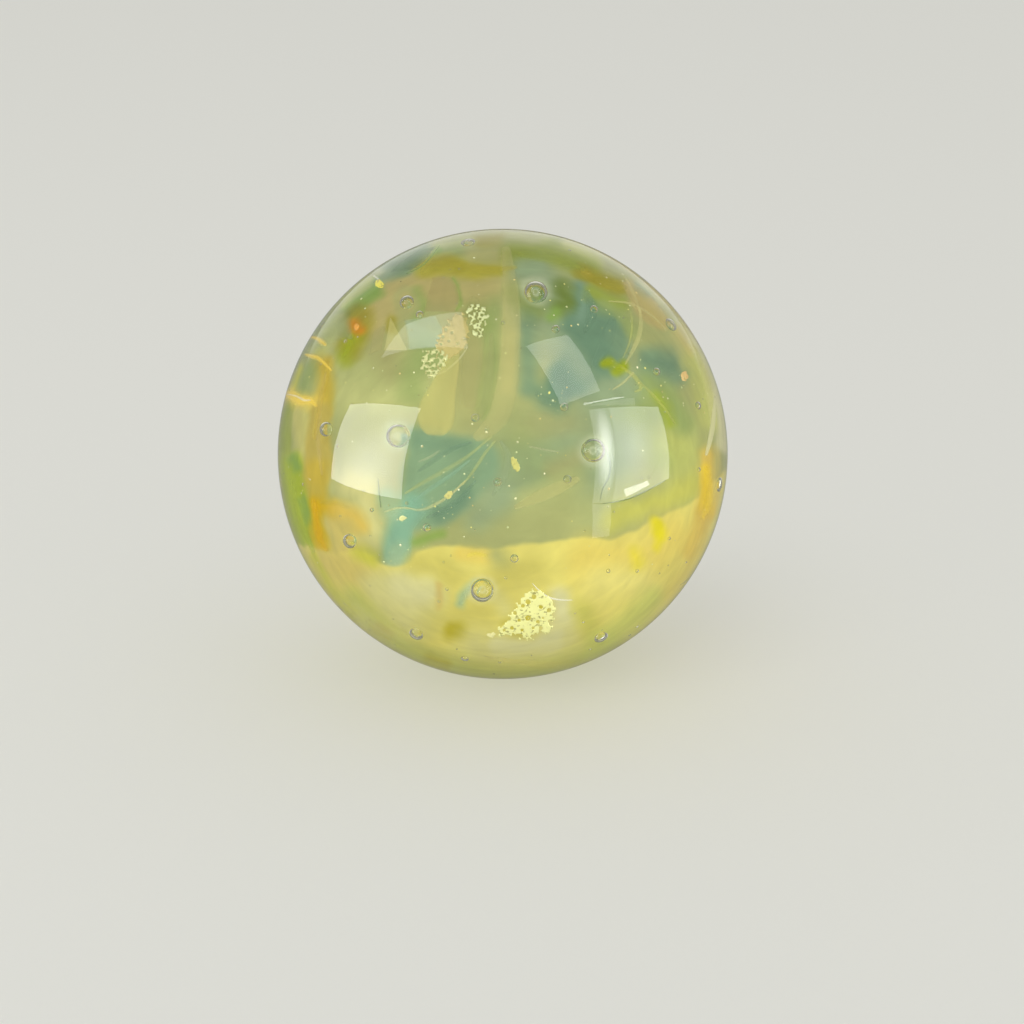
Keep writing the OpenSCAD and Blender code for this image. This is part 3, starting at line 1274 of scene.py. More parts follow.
# Ground of the upper opal
GROUND = pool(T.OLIVE_GREY, 20, 1.0, (250, 200), (760, 200), (760, 560), (250, 560))
FRONT_HEART = (
    # Broad colours of the upper opal. Its darker tone is partly the glass's own and partly painted shade: the
    # dark table seen upside down through the upper half
    GROUND,
    run(T.SAGE, 70, 40, 0.9, (340, 385), (385, 372), (430, 376)),
    run(T.TAN_GREY, 34, 18, 0.8, (368, 328), (380, 345), (396, 366)),
    run(T.SAGE_PALE, 24, 20, 0.9, (345, 396), (390, 400), (424, 392)),
    run(T.LEAF_GREY, 26, 18, 0.7, (412, 392), (412, 374), (418, 362), (424, 350)),
    run(T.KHAKI, 46, 22, 0.9, (470, 286), (472, 340), (470, 392)),
    run(T.TAN_PALE, 22, 10, 0.9, (508, 278), (510, 330), (507, 384)),
    run(T.LEAF_GREY, 16, 12, 0.8, (492, 300), (490, 350), (486, 410)),
    run(T.SEA_GREY, 80, 50, 0.9, (500, 480), (530, 468), (570, 450)),
    run(T.TAN_GREY, 28, 18, 0.35, (524, 430), (548, 421), (578, 418)),
    run(T.MOSS_GREY, 50, 40, 0.3, (520, 446), (540, 466), (566, 480)),
    run(T.TAN_BROWN, 20, 16, 0.5, (556, 470), (572, 462), (588, 452)),
    run(T.SAGE, 26, 14, 0.8, (519, 506), (545, 497), (577, 483)),
    run(T.OLIVE_GREY, 44, 26, 0.9, (466, 528), (510, 524), (570, 520)),
    run(T.SEA_GREY, 46, 30, 0.9, (602, 400), (622, 430), (620, 450), (606, 500)),
    run(T.LEAF_GREY, 40, 26, 0.9, (630, 400), (654, 420), (668, 452)),
    run(T.LIME_PALE, 40, 26, 0.8, (676, 440), (686, 465), (682, 486)),
    run(T.SAGE, 36, 24, 0.8, (590, 512), (620, 500), (650, 490)),
    run(T.STRAW_GREEN, 22, 16, 0.9, (612, 520), (640, 510), (672, 496), (694, 486)),
    # Painted light: a pale ring round a large bubble
    *painted_halo(T.MIST, T.SEA_GREY, (592, 451)),
    # Top: olive rim, mustard arc, tan below it
    run(T.SAGE_PALE, 20, 14, 0.9, (430, 252), (455, 238), (500, 230), (550, 232), (590, 244)),
    run(T.LEAF_GREY, 14, 10, 0.8, (440, 254), (460, 250)),
    run(T.CREAM, 9, 8, 0.8, (566, 236), (604, 250), (642, 275), (672, 303), (694, 334)),
    run(T.OLIVE, 12, 12, 0.8, (482, 240), (498, 238)),
    run(T.LEAF, 6, 5, 0.8, (416, 272), (428, 262), (438, 250)),
    run(T.TAN, 34, 16, 0.95, (372, 318), (388, 300), (410, 288), (432, 284)),
    run(T.TAN, 26, 20, 0.7, (448, 290), (490, 286)),
    run(T.MUSTARD, 18, 9, 0.95, (424, 268), (446, 265), (478, 271), (512, 268)),
    run(T.MUSTARD_BROWN, 9, 9, 0.9, (434, 265), (448, 263), (458, 267)),
    run(T.TAN_PALE, 12, 12, 0.8, (470, 256), (490, 254), (506, 256)),
    run(T.LIME_PALE, 16, 12, 0.8, (552, 246), (572, 250), (592, 260)),
    run(T.OLIVE_GREEN, 14, 9, 0.95, (533, 262), (540, 252), (554, 244)),
    run(T.OLIVE_GREEN, 20, 12, 0.95, (512, 252), (536, 256), (562, 258), (588, 268)),
    run(T.SEA_GREY, 24, 14, 0.9, (518, 272), (538, 270), (548, 286)),
    run(T.SEA_PALE, 12, 12, 0.5, (522, 266), (536, 270)),
    run(T.MUSTARD_BROWN, 17, 8, 0.95, (582, 272), (598, 279), (622, 286)),
    run(T.AMBER, 5, 6, 0.6, (583, 271), (588, 273)),
    run(T.MUSTARD, 10, 8, 0.8, (606, 284), (620, 286)),
    # Left shoulder
    run(T.MIST, 14, 8, 0.8, (376, 268), (396, 252), (424, 238)),
    run(T.TEAL_GREY, 13, 9, 0.8, (388, 269), (404, 260), (424, 249)),
    run(T.SEA_DARK, 9, 8, 0.8, (396, 269), (406, 265), (415, 259)),
    run(T.TEAL_GREY, 8, 6, 0.7, (374, 282), (392, 275), (406, 270)),
    run(T.LEAF, 19, 9, 0.95, (352, 306), (362, 297), (374, 290)),
    run(T.MOSS, 7, 6, 0.7, (352, 313), (358, 307)),
    run(T.LIME_PALE, 9, 7, 0.7, (343, 303), (352, 290), (366, 281)),
    run(T.SAGE_PALE, 20, 14, 0.9, (333, 332), (322, 352), (314, 378)),
    run(T.LIME_PALE, 12, 10, 0.5, (336, 320), (325, 338), (317, 352)),
    run(T.OLIVE, 24, 14, 0.9, (360, 316), (355, 334), (350, 346)),
    run(T.LIME_DEEP, 14, 12, 0.7, (353, 338), (348, 348), (344, 358)),
    run(T.ORANGE, 10, 9, 0.9, (355, 324), (357, 329)),
    run(T.OLIVE, 8, 7, 0.8, (392, 318), (393, 330)),
    run(T.LEAF, 9, 9, 0.6, (418, 292), (422, 304), (416, 316)),
    run(T.LEAF, 3, 4, 0.7, (454, 278), (460, 288), (461, 300), (456, 310)),
    # Scorched melt round the leaf
    run(T.MOSS_GREY, 20, 10, 0.6, (474, 310), (480, 326)),
    run(T.LEAF_GREY, 24, 12, 0.6, (428, 362), (440, 358)),
    # Greens and teals of the upper right
    run(T.SEA_GREY, 60, 40, 0.95, (548, 306), (570, 346), (604, 380)),
    run(T.TEAL_GREY, 17, 12, 0.8, (529, 314), (528, 345), (528, 370), (526, 390)),
    run(T.MOSS_GREY, 16, 12, 0.7, (512, 292), (522, 304), (538, 312)),
    pool(T.SEA_DEEP, 16, 1.0, (576, 284), (594, 292), (612, 308), (624, 326), (628, 350), (614, 372),
         (592, 392), (564, 402), (546, 394), (548, 370), (562, 350), (558, 330), (566, 312)),
    run(T.TEAL_BLUE, 11, 12, 0.5, (580, 290), (585, 304), (580, 316)),
    run(T.SEA_GREY, 16, 14, 0.6, (560, 340), (572, 356), (584, 372)),
    run(T.MOSS, 18, 14, 0.85, (562, 290), (567, 300), (560, 306)),
    run(T.LEAF, 10, 9, 0.8, (556, 312), (550, 318)),
    run(T.OLIVE_GREEN, 14, 9, 0.9, (592, 292), (606, 298), (622, 304)),
    run(T.LEAF_GREY, 14, 10, 0.8, (606, 306), (622, 316), (630, 332)),
    run(T.TEAL_GREY, 16, 12, 0.8, (616, 336), (622, 352), (616, 366)),
    run(T.SEA_DEEP, 17, 16, 0.75, (538, 390), (546, 400), (557, 405)),
    pool(T.TAN, 7, 0.95, (622, 282), (634, 282), (648, 294), (662, 310), (672, 328), (658, 330), (642, 320),
         (630, 302)),
    run(T.PEACH, 9, 8, 0.5, (634, 290), (650, 306), (662, 322)),
    run(T.TEAL_GREY, 8, 6, 0.8, (638, 286), (648, 294)),
    run(T.CREAM_PALE, 13, 9, 0.9, (646, 280), (666, 298), (682, 318), (695, 342)),
    pool(T.TEAL_GREY, 18, 0.85, (640, 352), (656, 346), (678, 350), (688, 368), (680, 386), (656, 390),
         (640, 380)),
    run(T.SEA_DEEP, 12, 12, 0.6, (650, 362), (660, 364), (672, 366)),
    run(T.LIME_DEEP, 9, 6, 0.9, (604, 362), (610, 361)),
    run(T.LIME_DEEP, 10, 6, 0.9, (616, 370), (624, 366)),
    run(T.LEAF_GREY, 22, 16, 0.9, (648, 384), (666, 398), (684, 424)),
    run(T.LIME, 9, 9, 0.6, (656, 396), (664, 410), (670, 424)),
    run(T.SEA_GREY, 26, 18, 0.8, (604, 388), (624, 392)),
    run(T.TAN_PALE, 12, 10, 0.7, (676, 340), (682, 352), (686, 364)),
    run(T.LIME_PALE, 22, 14, 0.9, (694, 360), (706, 388), (712, 420)),
    run(T.CREAM_PALE, 12, 8, 0.9, (696, 338), (712, 372), (721, 410), (723, 446)),
    run(T.PEACH, 10, 9, 0.6, (678, 330), (690, 352)),
    # Painted light: pale rings round the large bubbles
    *painted_halo(T.MIST, T.MOSS_GREY, (536, 290)),
    *painted_halo(T.MIST, T.SAGE_PALE, (398, 436)),
    *painted_halo(T.OLIVE_GREY, T.TAN, (407, 301)),
    # Left side
    run(T.LEAF_GREY, 16, 10, 0.9, (312, 366), (304, 384), (298, 398)),
    run(T.STRAW, 20, 9, 0.9, (300, 412), (302, 434), (306, 456)),
    run(T.OLIVE_GREEN, 11, 6, 0.95, (289, 404), (284, 424), (283, 450)),
    run(T.OLIVE_GREEN, 8, 6, 0.8, (282, 460), (285, 490), (294, 524)),
    run(T.LIME_YELLOW, 7, 6, 0.8, (290, 392), (300, 366)),
    run(T.LIME, 24, 12, 0.95, (292, 466), (298, 500), (306, 530), (318, 556)),
    run(T.LEAF, 8, 6, 0.9, (292, 458), (298, 468)),
    run(T.LEAF, 7, 6, 0.8, (304, 508), (308, 520), (302, 500)),
    run(T.LIME_YELLOW, 14, 9, 0.9, (318, 552), (332, 578), (350, 602)),
    run(T.AMBER, 18, 10, 0.95, (324, 364), (326, 386), (322, 410)),
    # Painted highlight: the glow under the glints on the left
    run(T.GLINT, 15, 12, 0.7, (286, 394), (300, 400), (314, 402)),
    run(T.AMBER_DULL, 24, 7, 0.95, (320, 414), (318, 440), (320, 474)),
    run(T.AMBER, 22, 10, 0.9, (316, 470), (318, 492)),
    run(T.PEACH, 36, 22, 0.9, (338, 524), (348, 546)),
    run(T.CREAM, 30, 20, 0.9, (352, 482), (366, 490), (366, 512), (370, 530)),
    run(T.AMBER_DEEP, 13, 14, 0.8, (318, 506), (332, 507)),
    run(T.HONEY, 15, 14, 0.9, (336, 508), (352, 514), (360, 526)),
    run(T.AMBER_DEEP, 11, 8, 0.95, (316, 506), (317, 526), (323, 547)),
    # Middle: sea-green pool, its tongue and its deep run
    pool(T.SEA, 14, 0.95, (412, 428), (450, 434), (486, 442), (500, 462), (488, 488), (456, 516), (424, 530),
         (402, 504), (406, 456)),
    run(T.SEA_DEEP, 12, 14, 0.6, (420, 440), (442, 446), (466, 448)),
    run(T.SEA_DEEP, 14, 10, 0.8, (436, 514), (452, 506), (464, 494)),
    run(T.SEA_BRIGHT, 28, 12, 0.95, (412, 508), (402, 526), (396, 548)),
    run(T.SEA_PALE, 20, 10, 0.8, (388, 498), (392, 512)),
    run(T.SEA_PALE, 22, 10, 0.9, (398, 552), (396, 562)),
    run(T.LEAF, 9, 9, 0.8, (416, 542), (428, 538), (440, 534)),
    run(T.SEA_GREY, 26, 20, 0.8, (500, 500), (478, 516)),
    # Lower opal. Its paler, brighter yellow is partly the glass's own and partly painted light: the bright
    # wall seen upside down through the lower half
    pool(T.BUTTER, 5, 1.0, (240, 545), (330, 552), (366, 552), (378, 561), (394, 564), (410, 562),
         (418, 552), (434, 548), (456, 547), (492, 550), (520, 545), (552, 541), (582, 538), (615, 537),
         (636, 530), (654, 521), (670, 512), (690, 502), (704, 492), (724, 470), (760, 440), (800, 720),
         (240, 720)),
    run(T.PEACH, 30, 20, 0.9, (330, 560), (352, 572), (366, 584)),
    run(T.LIME_YELLOW, 16, 12, 0.7, (360, 554), (370, 558)),
    pool(T.CREAM, 24, 0.95, (360, 580), (396, 568), (436, 574), (446, 604), (424, 636), (384, 622)),
    run(T.CREAM_PALE, 22, 20, 0.6, (400, 586), (424, 594)),
    run(T.BUTTER_DULL, 20, 14, 0.9, (418, 562), (440, 562), (452, 576)),
    run(T.WARM_EDGE, 6, 6, 0.5, (439, 584), (438, 606)),
    run(T.BUTTER_WARM, 14, 8, 0.9, (462, 554), (488, 556)),
    run(T.OLIVE_GREY, 16, 14, 0.8, (498, 556), (506, 566)),
    run(T.BUTTER_DULL, 26, 20, 0.9, (500, 580), (520, 572), (536, 566)),
    run(T.BUTTER_WARM, 40, 30, 0.8, (590, 560), (640, 560), (676, 536)),
    run(T.BUTTER_PALE, 30, 24, 0.8, (600, 580), (640, 580)),
    run(T.LEMON, 10, 12, 0.5, (634, 552), (638, 564)),
    run(T.HONEY, 18, 12, 0.95, (708, 456), (708, 485), (706, 512)),
    run(T.HONEY_BRIGHT, 10, 8, 0.9, (706, 470), (707, 512)),
    run(T.HONEY, 14, 12, 0.9, (704, 516), (698, 536), (690, 552)),
    run(T.BUTTER_WARM, 14, 12, 0.6, (700, 545), (688, 570), (668, 596)),
    run(T.LEMON, 14, 9, 0.95, (658, 526), (658, 534)),
    run(T.LEMON, 8, 8, 0.6, (660, 540), (656, 548)),
    run(T.BUTTER_DULL, 30, 24, 0.7, (436, 622), (470, 618), (496, 600)),
    run(T.LEMON_SPOT, 15, 10, 0.95, (451, 632), (458, 632)),
    run(T.SEA_PALE, 10, 8, 0.8, (462, 604), (466, 592), (474, 584)),
    # Painted reflection: a whitish haze of light beside the bright leaf
    run(T.CREAM_PALE, 24, 16, 0.9, (560, 600), (562, 620), (552, 640)),
    run(T.CREAM, 32, 24, 0.9, (474, 648), (530, 654), (566, 640)),
    run(T.STRAW_GREEN, 20, 18, 0.7, (584, 612), (592, 630)),
    # Painted shade: darker, greener bands round the bottom of the heart
    run(T.BOTTOM_SHADE_GREEN, 22, 16, 0.8, (600, 642), (630, 622), (652, 598)),
    run(T.BOTTOM_SHADE_GREEN, 24, 18, 0.95, (352, 602), (400, 648), (450, 668), (505, 678), (560, 670), (610, 648)),
    run(T.LEMON_SPOT, 9, 9, 0.7, (428, 658), (446, 664)),
    run(T.LEMON_SPOT, 24, 10, 0.6, (516, 624), (536, 608)),
    run(T.CREAM_PALE, 14, 10, 0.7, (498, 644), (530, 646), (556, 640)),
    run(T.CREAM, 16, 12, 0.6, (498, 600), (508, 612)),
    # Painted light: a pale ring round a large bubble
    *painted_halo(T.CREAM_PALE, T.BUTTER_DULL, (482, 590)),
    run(T.AMBER_DULL, 9, 9, 0.6, (376, 628), (388, 634)),
    run(T.LIME_YELLOW, 9, 8, 0.8, (312, 556), (332, 590), (352, 614)),
)
BACK_RIGHT_HEART = (
    GROUND,
    run(T.SEA_GREY, 90, 60, 0.9, (380, 360), (460, 330), (540, 360)),
    run(T.TEAL_GREY, 60, 40, 0.9, (400, 430), (470, 400), (540, 440)),
    run(T.SEA, 44, 30, 0.9, (420, 470), (480, 450), (560, 470), (610, 440)),
    run(T.KHAKI, 50, 30, 0.9, (520, 270), (560, 330), (640, 380)),
    run(T.TAN, 36, 20, 0.9, (380, 290), (440, 270), (500, 290), (560, 270)),
    run(T.MUSTARD, 20, 14, 0.9, (600, 300), (640, 340), (660, 400)),
    run(T.MOSS_GREY, 24, 18, 0.8, (420, 350), (440, 320), (480, 310)),
    run(T.SEA_PALE, 30, 24, 0.7, (520, 400), (560, 400), (600, 380)),
    run(T.STRAW_GREEN, 30, 24, 0.8, (430, 500), (500, 510), (580, 500)),
    run(T.AMBER, 24, 14, 0.9, (670, 400), (680, 450), (670, 490)),
    pool(T.BUTTER, 7, 1.0, (240, 480), (320, 500), (380, 524), (430, 536), (490, 548), (540, 556),
         (600, 552), (650, 540), (700, 530), (760, 520), (800, 720), (240, 720)),
    run(T.CREAM, 50, 40, 0.9, (380, 590), (460, 600), (520, 590)),
    run(T.HONEY, 40, 30, 0.8, (600, 600), (660, 560), (700, 520)),
    run(T.LEMON, 14, 12, 0.8, (560, 566), (570, 574)),
    # Painted shade round the bottom of the heart
    run(T.BOTTOM_SHADE_GREEN, 30, 26, 0.9, (360, 612), (400, 648), (450, 668), (505, 678), (560, 670), (610, 648)),
)
BACK_LEFT_HEART = (
    pool(T.OLIVE_GREY, 24, 1.0, (250, 200), (620, 200), (600, 300), (560, 400), (600, 560), (250, 560)),
    run(T.SAGE, 60, 50, 0.9, (380, 300), (430, 330), (470, 380)),
    run(T.LEAF_GREY, 50, 40, 0.9, (340, 400), (400, 430), (470, 450)),
    run(T.LIME, 22, 18, 0.8, (330, 470), (370, 490), (430, 500)),
    run(T.KHAKI, 46, 34, 0.8, (470, 280), (510, 330), (540, 380)),
    run(T.SEA_GREY, 46, 40, 0.8, (430, 400), (500, 430), (560, 470)),
    run(T.MAUVE, 30, 20, 0.7, (400, 350), (420, 380), (410, 410)),
    run(T.MUSTARD, 18, 14, 0.8, (440, 300), (480, 290), (530, 300)),
    run(T.SEA_PALE, 26, 22, 0.7, (500, 470), (540, 500)),
    pool(T.BUTTER, 7, 1.0, (200, 545), (330, 548), (400, 556), (460, 548), (520, 530), (560, 520),
         (600, 512), (640, 560), (620, 720), (200, 720)),
    run(T.CREAM, 44, 36, 0.9, (380, 600), (440, 590), (500, 580)),
    run(T.PEACH, 30, 26, 0.7, (330, 570), (370, 590)),
    run(T.BUTTER_WARM, 30, 26, 0.8, (540, 570), (580, 560)),
    # Painted shade round the bottom of the heart
    run(T.BOTTOM_SHADE_GREEN, 30, 26, 0.9, (360, 612), (400, 648), (450, 668), (505, 678), (560, 670)),
)


@dataclass
class OpalHeart:
    """The two opal glasses that fill the middle of the ball, one in the bowl of the other.

    Attributes:
        ball_radius: The ball's radius.
        radius: The heart's radius.
        sides: What is painted on it, the first side the deepest.
        seam_elevation: Elevation of the seam on the heart's surface, in degrees.
        seam_height: Height of the seam at the ball's axis.
        columns: Vertices round the heart.
        upper_rows: Rings on the sphere above the seam.
        lower_rows: Rings on the sphere below it.
        bowl_rows: Rings across the bowl of the seam.
        crowding: How much closer together the columns stand at the best side.
        crease: Angle from which an edge is sharp, in degrees.
    """

    ball_radius: float
    radius: float
    sides: tuple[Side, ...]
    seam_elevation: float = -8.0
    seam_height: float = -2.8
    columns: int = 500
    upper_rows: int = 160
    lower_rows: int = 130
    bowl_rows: int = 14
    crowding: float = 0.45
    crease: float = 40.0

    def half(self, name: str, upper: bool, finish: OpalGlass) -> Object:
        """Makes one of the two opals: a cap of the sphere, closed by the bowl of the seam.

        The cap's rings run from the pole to the seam. The bowl's rings shrink evenly from there
        to the axis, and its height runs as the square of its width from the seam to the middle.

        Args:
            name: The piece's name.
            upper: Whether it is the upper opal.
            finish: Its glass.

        Returns:
            The piece.
        """
        pole, outer_rows = (90.0, self.upper_rows) if upper else (-90.0, self.lower_rows)
        elevation = np.radians(np.linspace(pole, self.seam_elevation, outer_rows + 1)[1:])
        step = np.arange(self.columns) * 2 * np.pi / self.columns
        around, height = np.meshgrid(step - self.crowding * np.sin(step), elevation)
        cap = self.radius * direction(around.ravel(), height.ravel())
        rim = cap[-self.columns :]
        share = np.linspace(1, 0, self.bowl_rows + 2)[1:-1, None]
        level = self.seam_height + (rim[:, 2] - self.seam_height) * share**2
        bowl = np.stack([rim[:, 0] * share, rim[:, 1] * share, level], axis=-1).reshape(-1, 3)
        tips = np.array([[0, 0, np.sign(pole) * self.radius], [0, 0, self.seam_height]])
        points = np.vstack([cap, bowl, tips])
        faces = tipped_faces(outer_rows + len(share), self.columns)
        if not upper:
            faces = [block[:, ::-1] for block in faces]
        colour = np.broadcast_to(shares(Tint.OLIVE_GREY.value), points.shape)
        on_sphere = self.radius * unit(points)
        for side in self.sides:
            colour = side.paint(on_sphere, colour, self.ball_radius)
        shell = Shell()
        shell.add(points, faces, tint=np.column_stack([to_linear(colour), np.ones(len(points))]))
        piece = shell.piece(name, finish.material())
        piece.data.set_sharp_from_angle(angle=np.radians(self.crease))
        return piece

    def build(self) -> list[Object]:
        """Makes both opals."""
        upper = self.half("sea_green_opal_heart", True, OpalGlass("sea_green_opal"))
        lower = self.half("straw_opal_heart", False, OpalGlass("straw_opal"))
        return [
            place_piece(upper, "green_opal"),
            place_piece(lower, "yellow_opal"),
        ]


# ---------- Films, threads and foil ----------

TEAL_FRONT = (
    pane(T.SEA, 0.35, 0.5, 130, (416, 428), (444, 432), (470, 440), (486, 452), (470, 480), (446, 508),
         (418, 522), (404, 496), (408, 455)),
    facet(T.SEA_BRIGHT, 0.3, 0.5, 110, (384, 508), (426, 496), (436, 504), (415, 530), (411, 563),
          (379, 564), (381, 534)),
    ribbon(T.SEA_DEEP, (6, 13, 12, 5), 0.5, 0.5, (586, 290), (592, 312), (584, 334)),
    ribbon(T.SEA_DEEP, (8, 18, 16, 6), 0.4, 0.6, (614, 316), (606, 342), (592, 368)),
    pane(T.SEA_DEEP, 0.3, 0.8, 80, (646, 358), (662, 355), (678, 360), (682, 370), (668, 380), (650, 376)),
    facet(T.TEAL_MIST, 0.6, 0.2, 20, (403, 319), (436, 314), (445, 330), (440, 349), (408, 351), (406, 334)),
    facet(T.SEA_DARK, 0.55, 0.2, 30, (389, 273), (400, 262), (420, 249), (438, 245), (426, 261), (410, 271)),
    ribbon(T.SEA_DEEP, (6, 13, 7), 0.35, 1.0, (535, 392), (545, 401), (558, 405)),
    ribbon(T.SEA_PALE, (6, 10, 6), 0.3, 0.9, (460, 606), (466, 594), (472, 586)),
    ribbon(T.SEA_DEEP, (3, 7, 7, 3), 0.5, 0.6, (418, 472), (434, 460), (452, 449), (472, 442)),
    ribbon(T.SEA_BRIGHT, (3, 6, 6, 2), 0.45, 0.6, (412, 502), (430, 489), (452, 474), (470, 460)),
    ribbon(T.SEA_DEEP, (3, 8, 7, 3), 0.5, 0.6, (426, 518), (446, 509), (462, 497), (476, 480)),
    ribbon(T.SEA_GREY, (4, 10, 10, 4), 0.4, 0.7, (500, 440), (508, 456), (504, 476), (492, 496)),
)
TEAL_REST = (
    sweep(T.SEA, 0.6, 0.6, (120, 6, 56, 60, 24, 9)),
    sweep(T.SEA_BRIGHT, 0.6, 0.7, (172, 40, -18, 58, 20, 8)),
    sweep(T.SEA, 0.6, 0.5, (-158, -16, 66, 54, 22, -9)),
    sweep(T.SEA_GREY, 0.5, 0.8, (-104, 26, 48, 56, 22, 8)),
)

TAN_FRONT = (
    ribbon(T.STRAW, (8, 20, 30, 40, 38), 0.7, 0.2, (456, 340), (450, 368), (442, 392), (437, 410),
           (435, 437)),
    ribbon(T.KHAKI, (10, 24, 26, 20), 0.45, 0.5, (474, 296), (474, 330), (472, 372), (468, 410)),
    ribbon(T.TAN_PALE, (10, 20, 23, 26, 24, 10), 0.5, 0.35, (506, 246), (511, 300), (510, 352), (506, 390),
           (496, 420), (474, 440)),
    ribbon(T.TAN_GREY, (6, 14, 18, 8), 0.4, 0.8, (491, 332), (490, 364), (486, 396), (478, 420)),
    facet(T.MAUVE, 0.5, 0.15, 100, (432, 277), (444, 275), (453, 277), (459, 287), (461, 300), (456, 313),
          (423, 313), (427, 295)),
    ribbon(T.TAN_PALE, (5, 13, 15, 7), 0.5, 0.35, (514, 508), (534, 499), (556, 489), (580, 478)),
    pane(T.TAN_GREY, 0.3, 0.6, 20, (519, 414), (545, 408), (572, 412), (581, 424), (566, 438), (540, 443),
         (522, 436)),
    facet(T.CREAM, 0.5, 0.1, 60, (390, 316), (408, 351), (384, 351)),
    facet(T.TAN_BROWN, 0.4, 0.2, 60, (374, 330), (387, 322), (382, 350), (368, 356)),
    ribbon(T.CREAM, (2, 5, 6, 5, 2), 0.45, 0.5, (638, 306), (641, 320), (639, 336), (633, 350), (625, 365)),
    pane(T.TAN, 0.5, 0.2, 45, (622, 280), (636, 283), (652, 296), (666, 314), (673, 330), (658, 326),
         (640, 312), (628, 300)),
    ribbon(T.CREAM, (4, 10, 12, 6), 0.45, 0.8, (688, 340), (702, 366), (710, 396), (712, 424)),
    ribbon(T.CREAM_PALE, (2, 5, 6, 3), 0.8, 0.4, (715, 396), (714, 414), (711, 436), (706, 456)),
    ribbon(T.ROSE, (4, 8, 8, 4), 0.3, 0.9, (326, 372), (320, 400), (318, 440), (322, 476)),
)
TAN_REST = (
    curtain(T.TAN_PALE, 0.7, 0.4, (134, 36, 12, 50, 46, 3)),
    curtain(T.STRAW, 0.7, 0.4, (-146, 34, -10, 54, 44, 3)),
    curtain(T.CREAM, 0.6, 0.5, (-172, -34, 8, 44, 34, 3)),
    curtain(T.CREAM, 0.4, 0.8, (-58, -44, 20, 36, 30, 2)),
    sweep(T.KHAKI, 0.5, 0.8, (170, 4, 40, 56, 16, 8)),
)

AMBER_FRONT = (
    ribbon(T.MUSTARD, (6, 12, 14, 11, 5), 0.5, 0.8, (420, 274), (432, 265), (456, 264), (486, 270),
           (518, 267)),
    ribbon(T.AMBER, (4, 8, 9, 7, 4), 0.5, 0.8, (328, 360), (327, 378), (322, 396), (318, 414), (314, 440)),
    # Painted highlights: the glints on the left, as bright films
    ribbon(T.GLINT, (6, 14, 15, 11, 4), 0.8, 0.8, (281, 395), (291, 395), (300, 400), (309, 400), (318, 407)),
    ribbon(T.GLEAM, (1, 3, 4, 2), 0.6, 1.0, (286, 394), (296, 396), (304, 400), (311, 400)),
    ribbon(T.GLINT, (2, 7, 7, 5, 2), 0.8, 0.9, (304, 354), (311, 356), (318, 358), (325, 364), (332, 371)),
    ribbon(T.GLINT, (3, 6, 8, 3), 0.75, 0.9, (309, 337), (316, 338), (322, 342), (327, 346)),
    ribbon(T.AMBER_DEEP, (5, 11, 12, 9, 4), 0.6, 1.0, (314, 500), (315, 514), (318, 530), (323, 544),
           (328, 552)),
    ribbon(T.AMBER, (4, 9, 9, 4), 0.12, 1.0, (320, 503), (334, 503), (350, 508)),
    ribbon(T.MUSTARD_BROWN, (5, 12, 13, 6), 0.5, 0.7, (580, 270), (594, 278), (610, 284), (628, 288)),
    ribbon(T.HONEY_BRIGHT, (4, 9, 11, 6), 0.5, 0.8, (706, 466), (710, 482), (709, 502), (702, 520)),
    ribbon(T.LIME_DEEP, (5, 10, 9, 4), 0.35, 0.9, (353, 332), (351, 340), (347, 350), (342, 358)),
    ribbon(T.LIME, (4, 8, 9, 5), 0.5, 0.8, (290, 478), (296, 502), (303, 528), (314, 554)),
    ribbon(T.LIME_DEEP, (4, 9, 9, 4), 0.5, 0.7, (602, 362), (610, 361), (618, 366), (628, 370)),
    ribbon(T.OLIVE_GREEN, (5, 12, 12, 6), 0.5, 0.7, (516, 254), (540, 257), (562, 261), (586, 270)),
    ribbon(T.LEMON, (3, 7, 7, 3), 0.3, 0.9, (466, 556), (476, 554), (488, 556)),
)
AMBER_REST = (
    sweep(T.AMBER, 0.6, 0.8, (112, 40, 70, 58, 10, 9)),
    sweep(T.MUSTARD, 0.6, 0.8, (158, -14, -30, 62, 11, 8)),
    sweep(T.HONEY, 0.6, 0.8, (-148, 36, 40, 56, 9, -8)),
    sweep(T.AMBER_DEEP, 0.5, 0.9, (-120, -34, 10, 60, 12, 8)),
    sweep(T.BUTTER_WARM, 0.2, 0.9, (30, -62, -24, 50, 10, 7)),
    sweep(T.MUSTARD, 0.5, 0.9, (178, 66, 0, 70, 9, 8)),
)

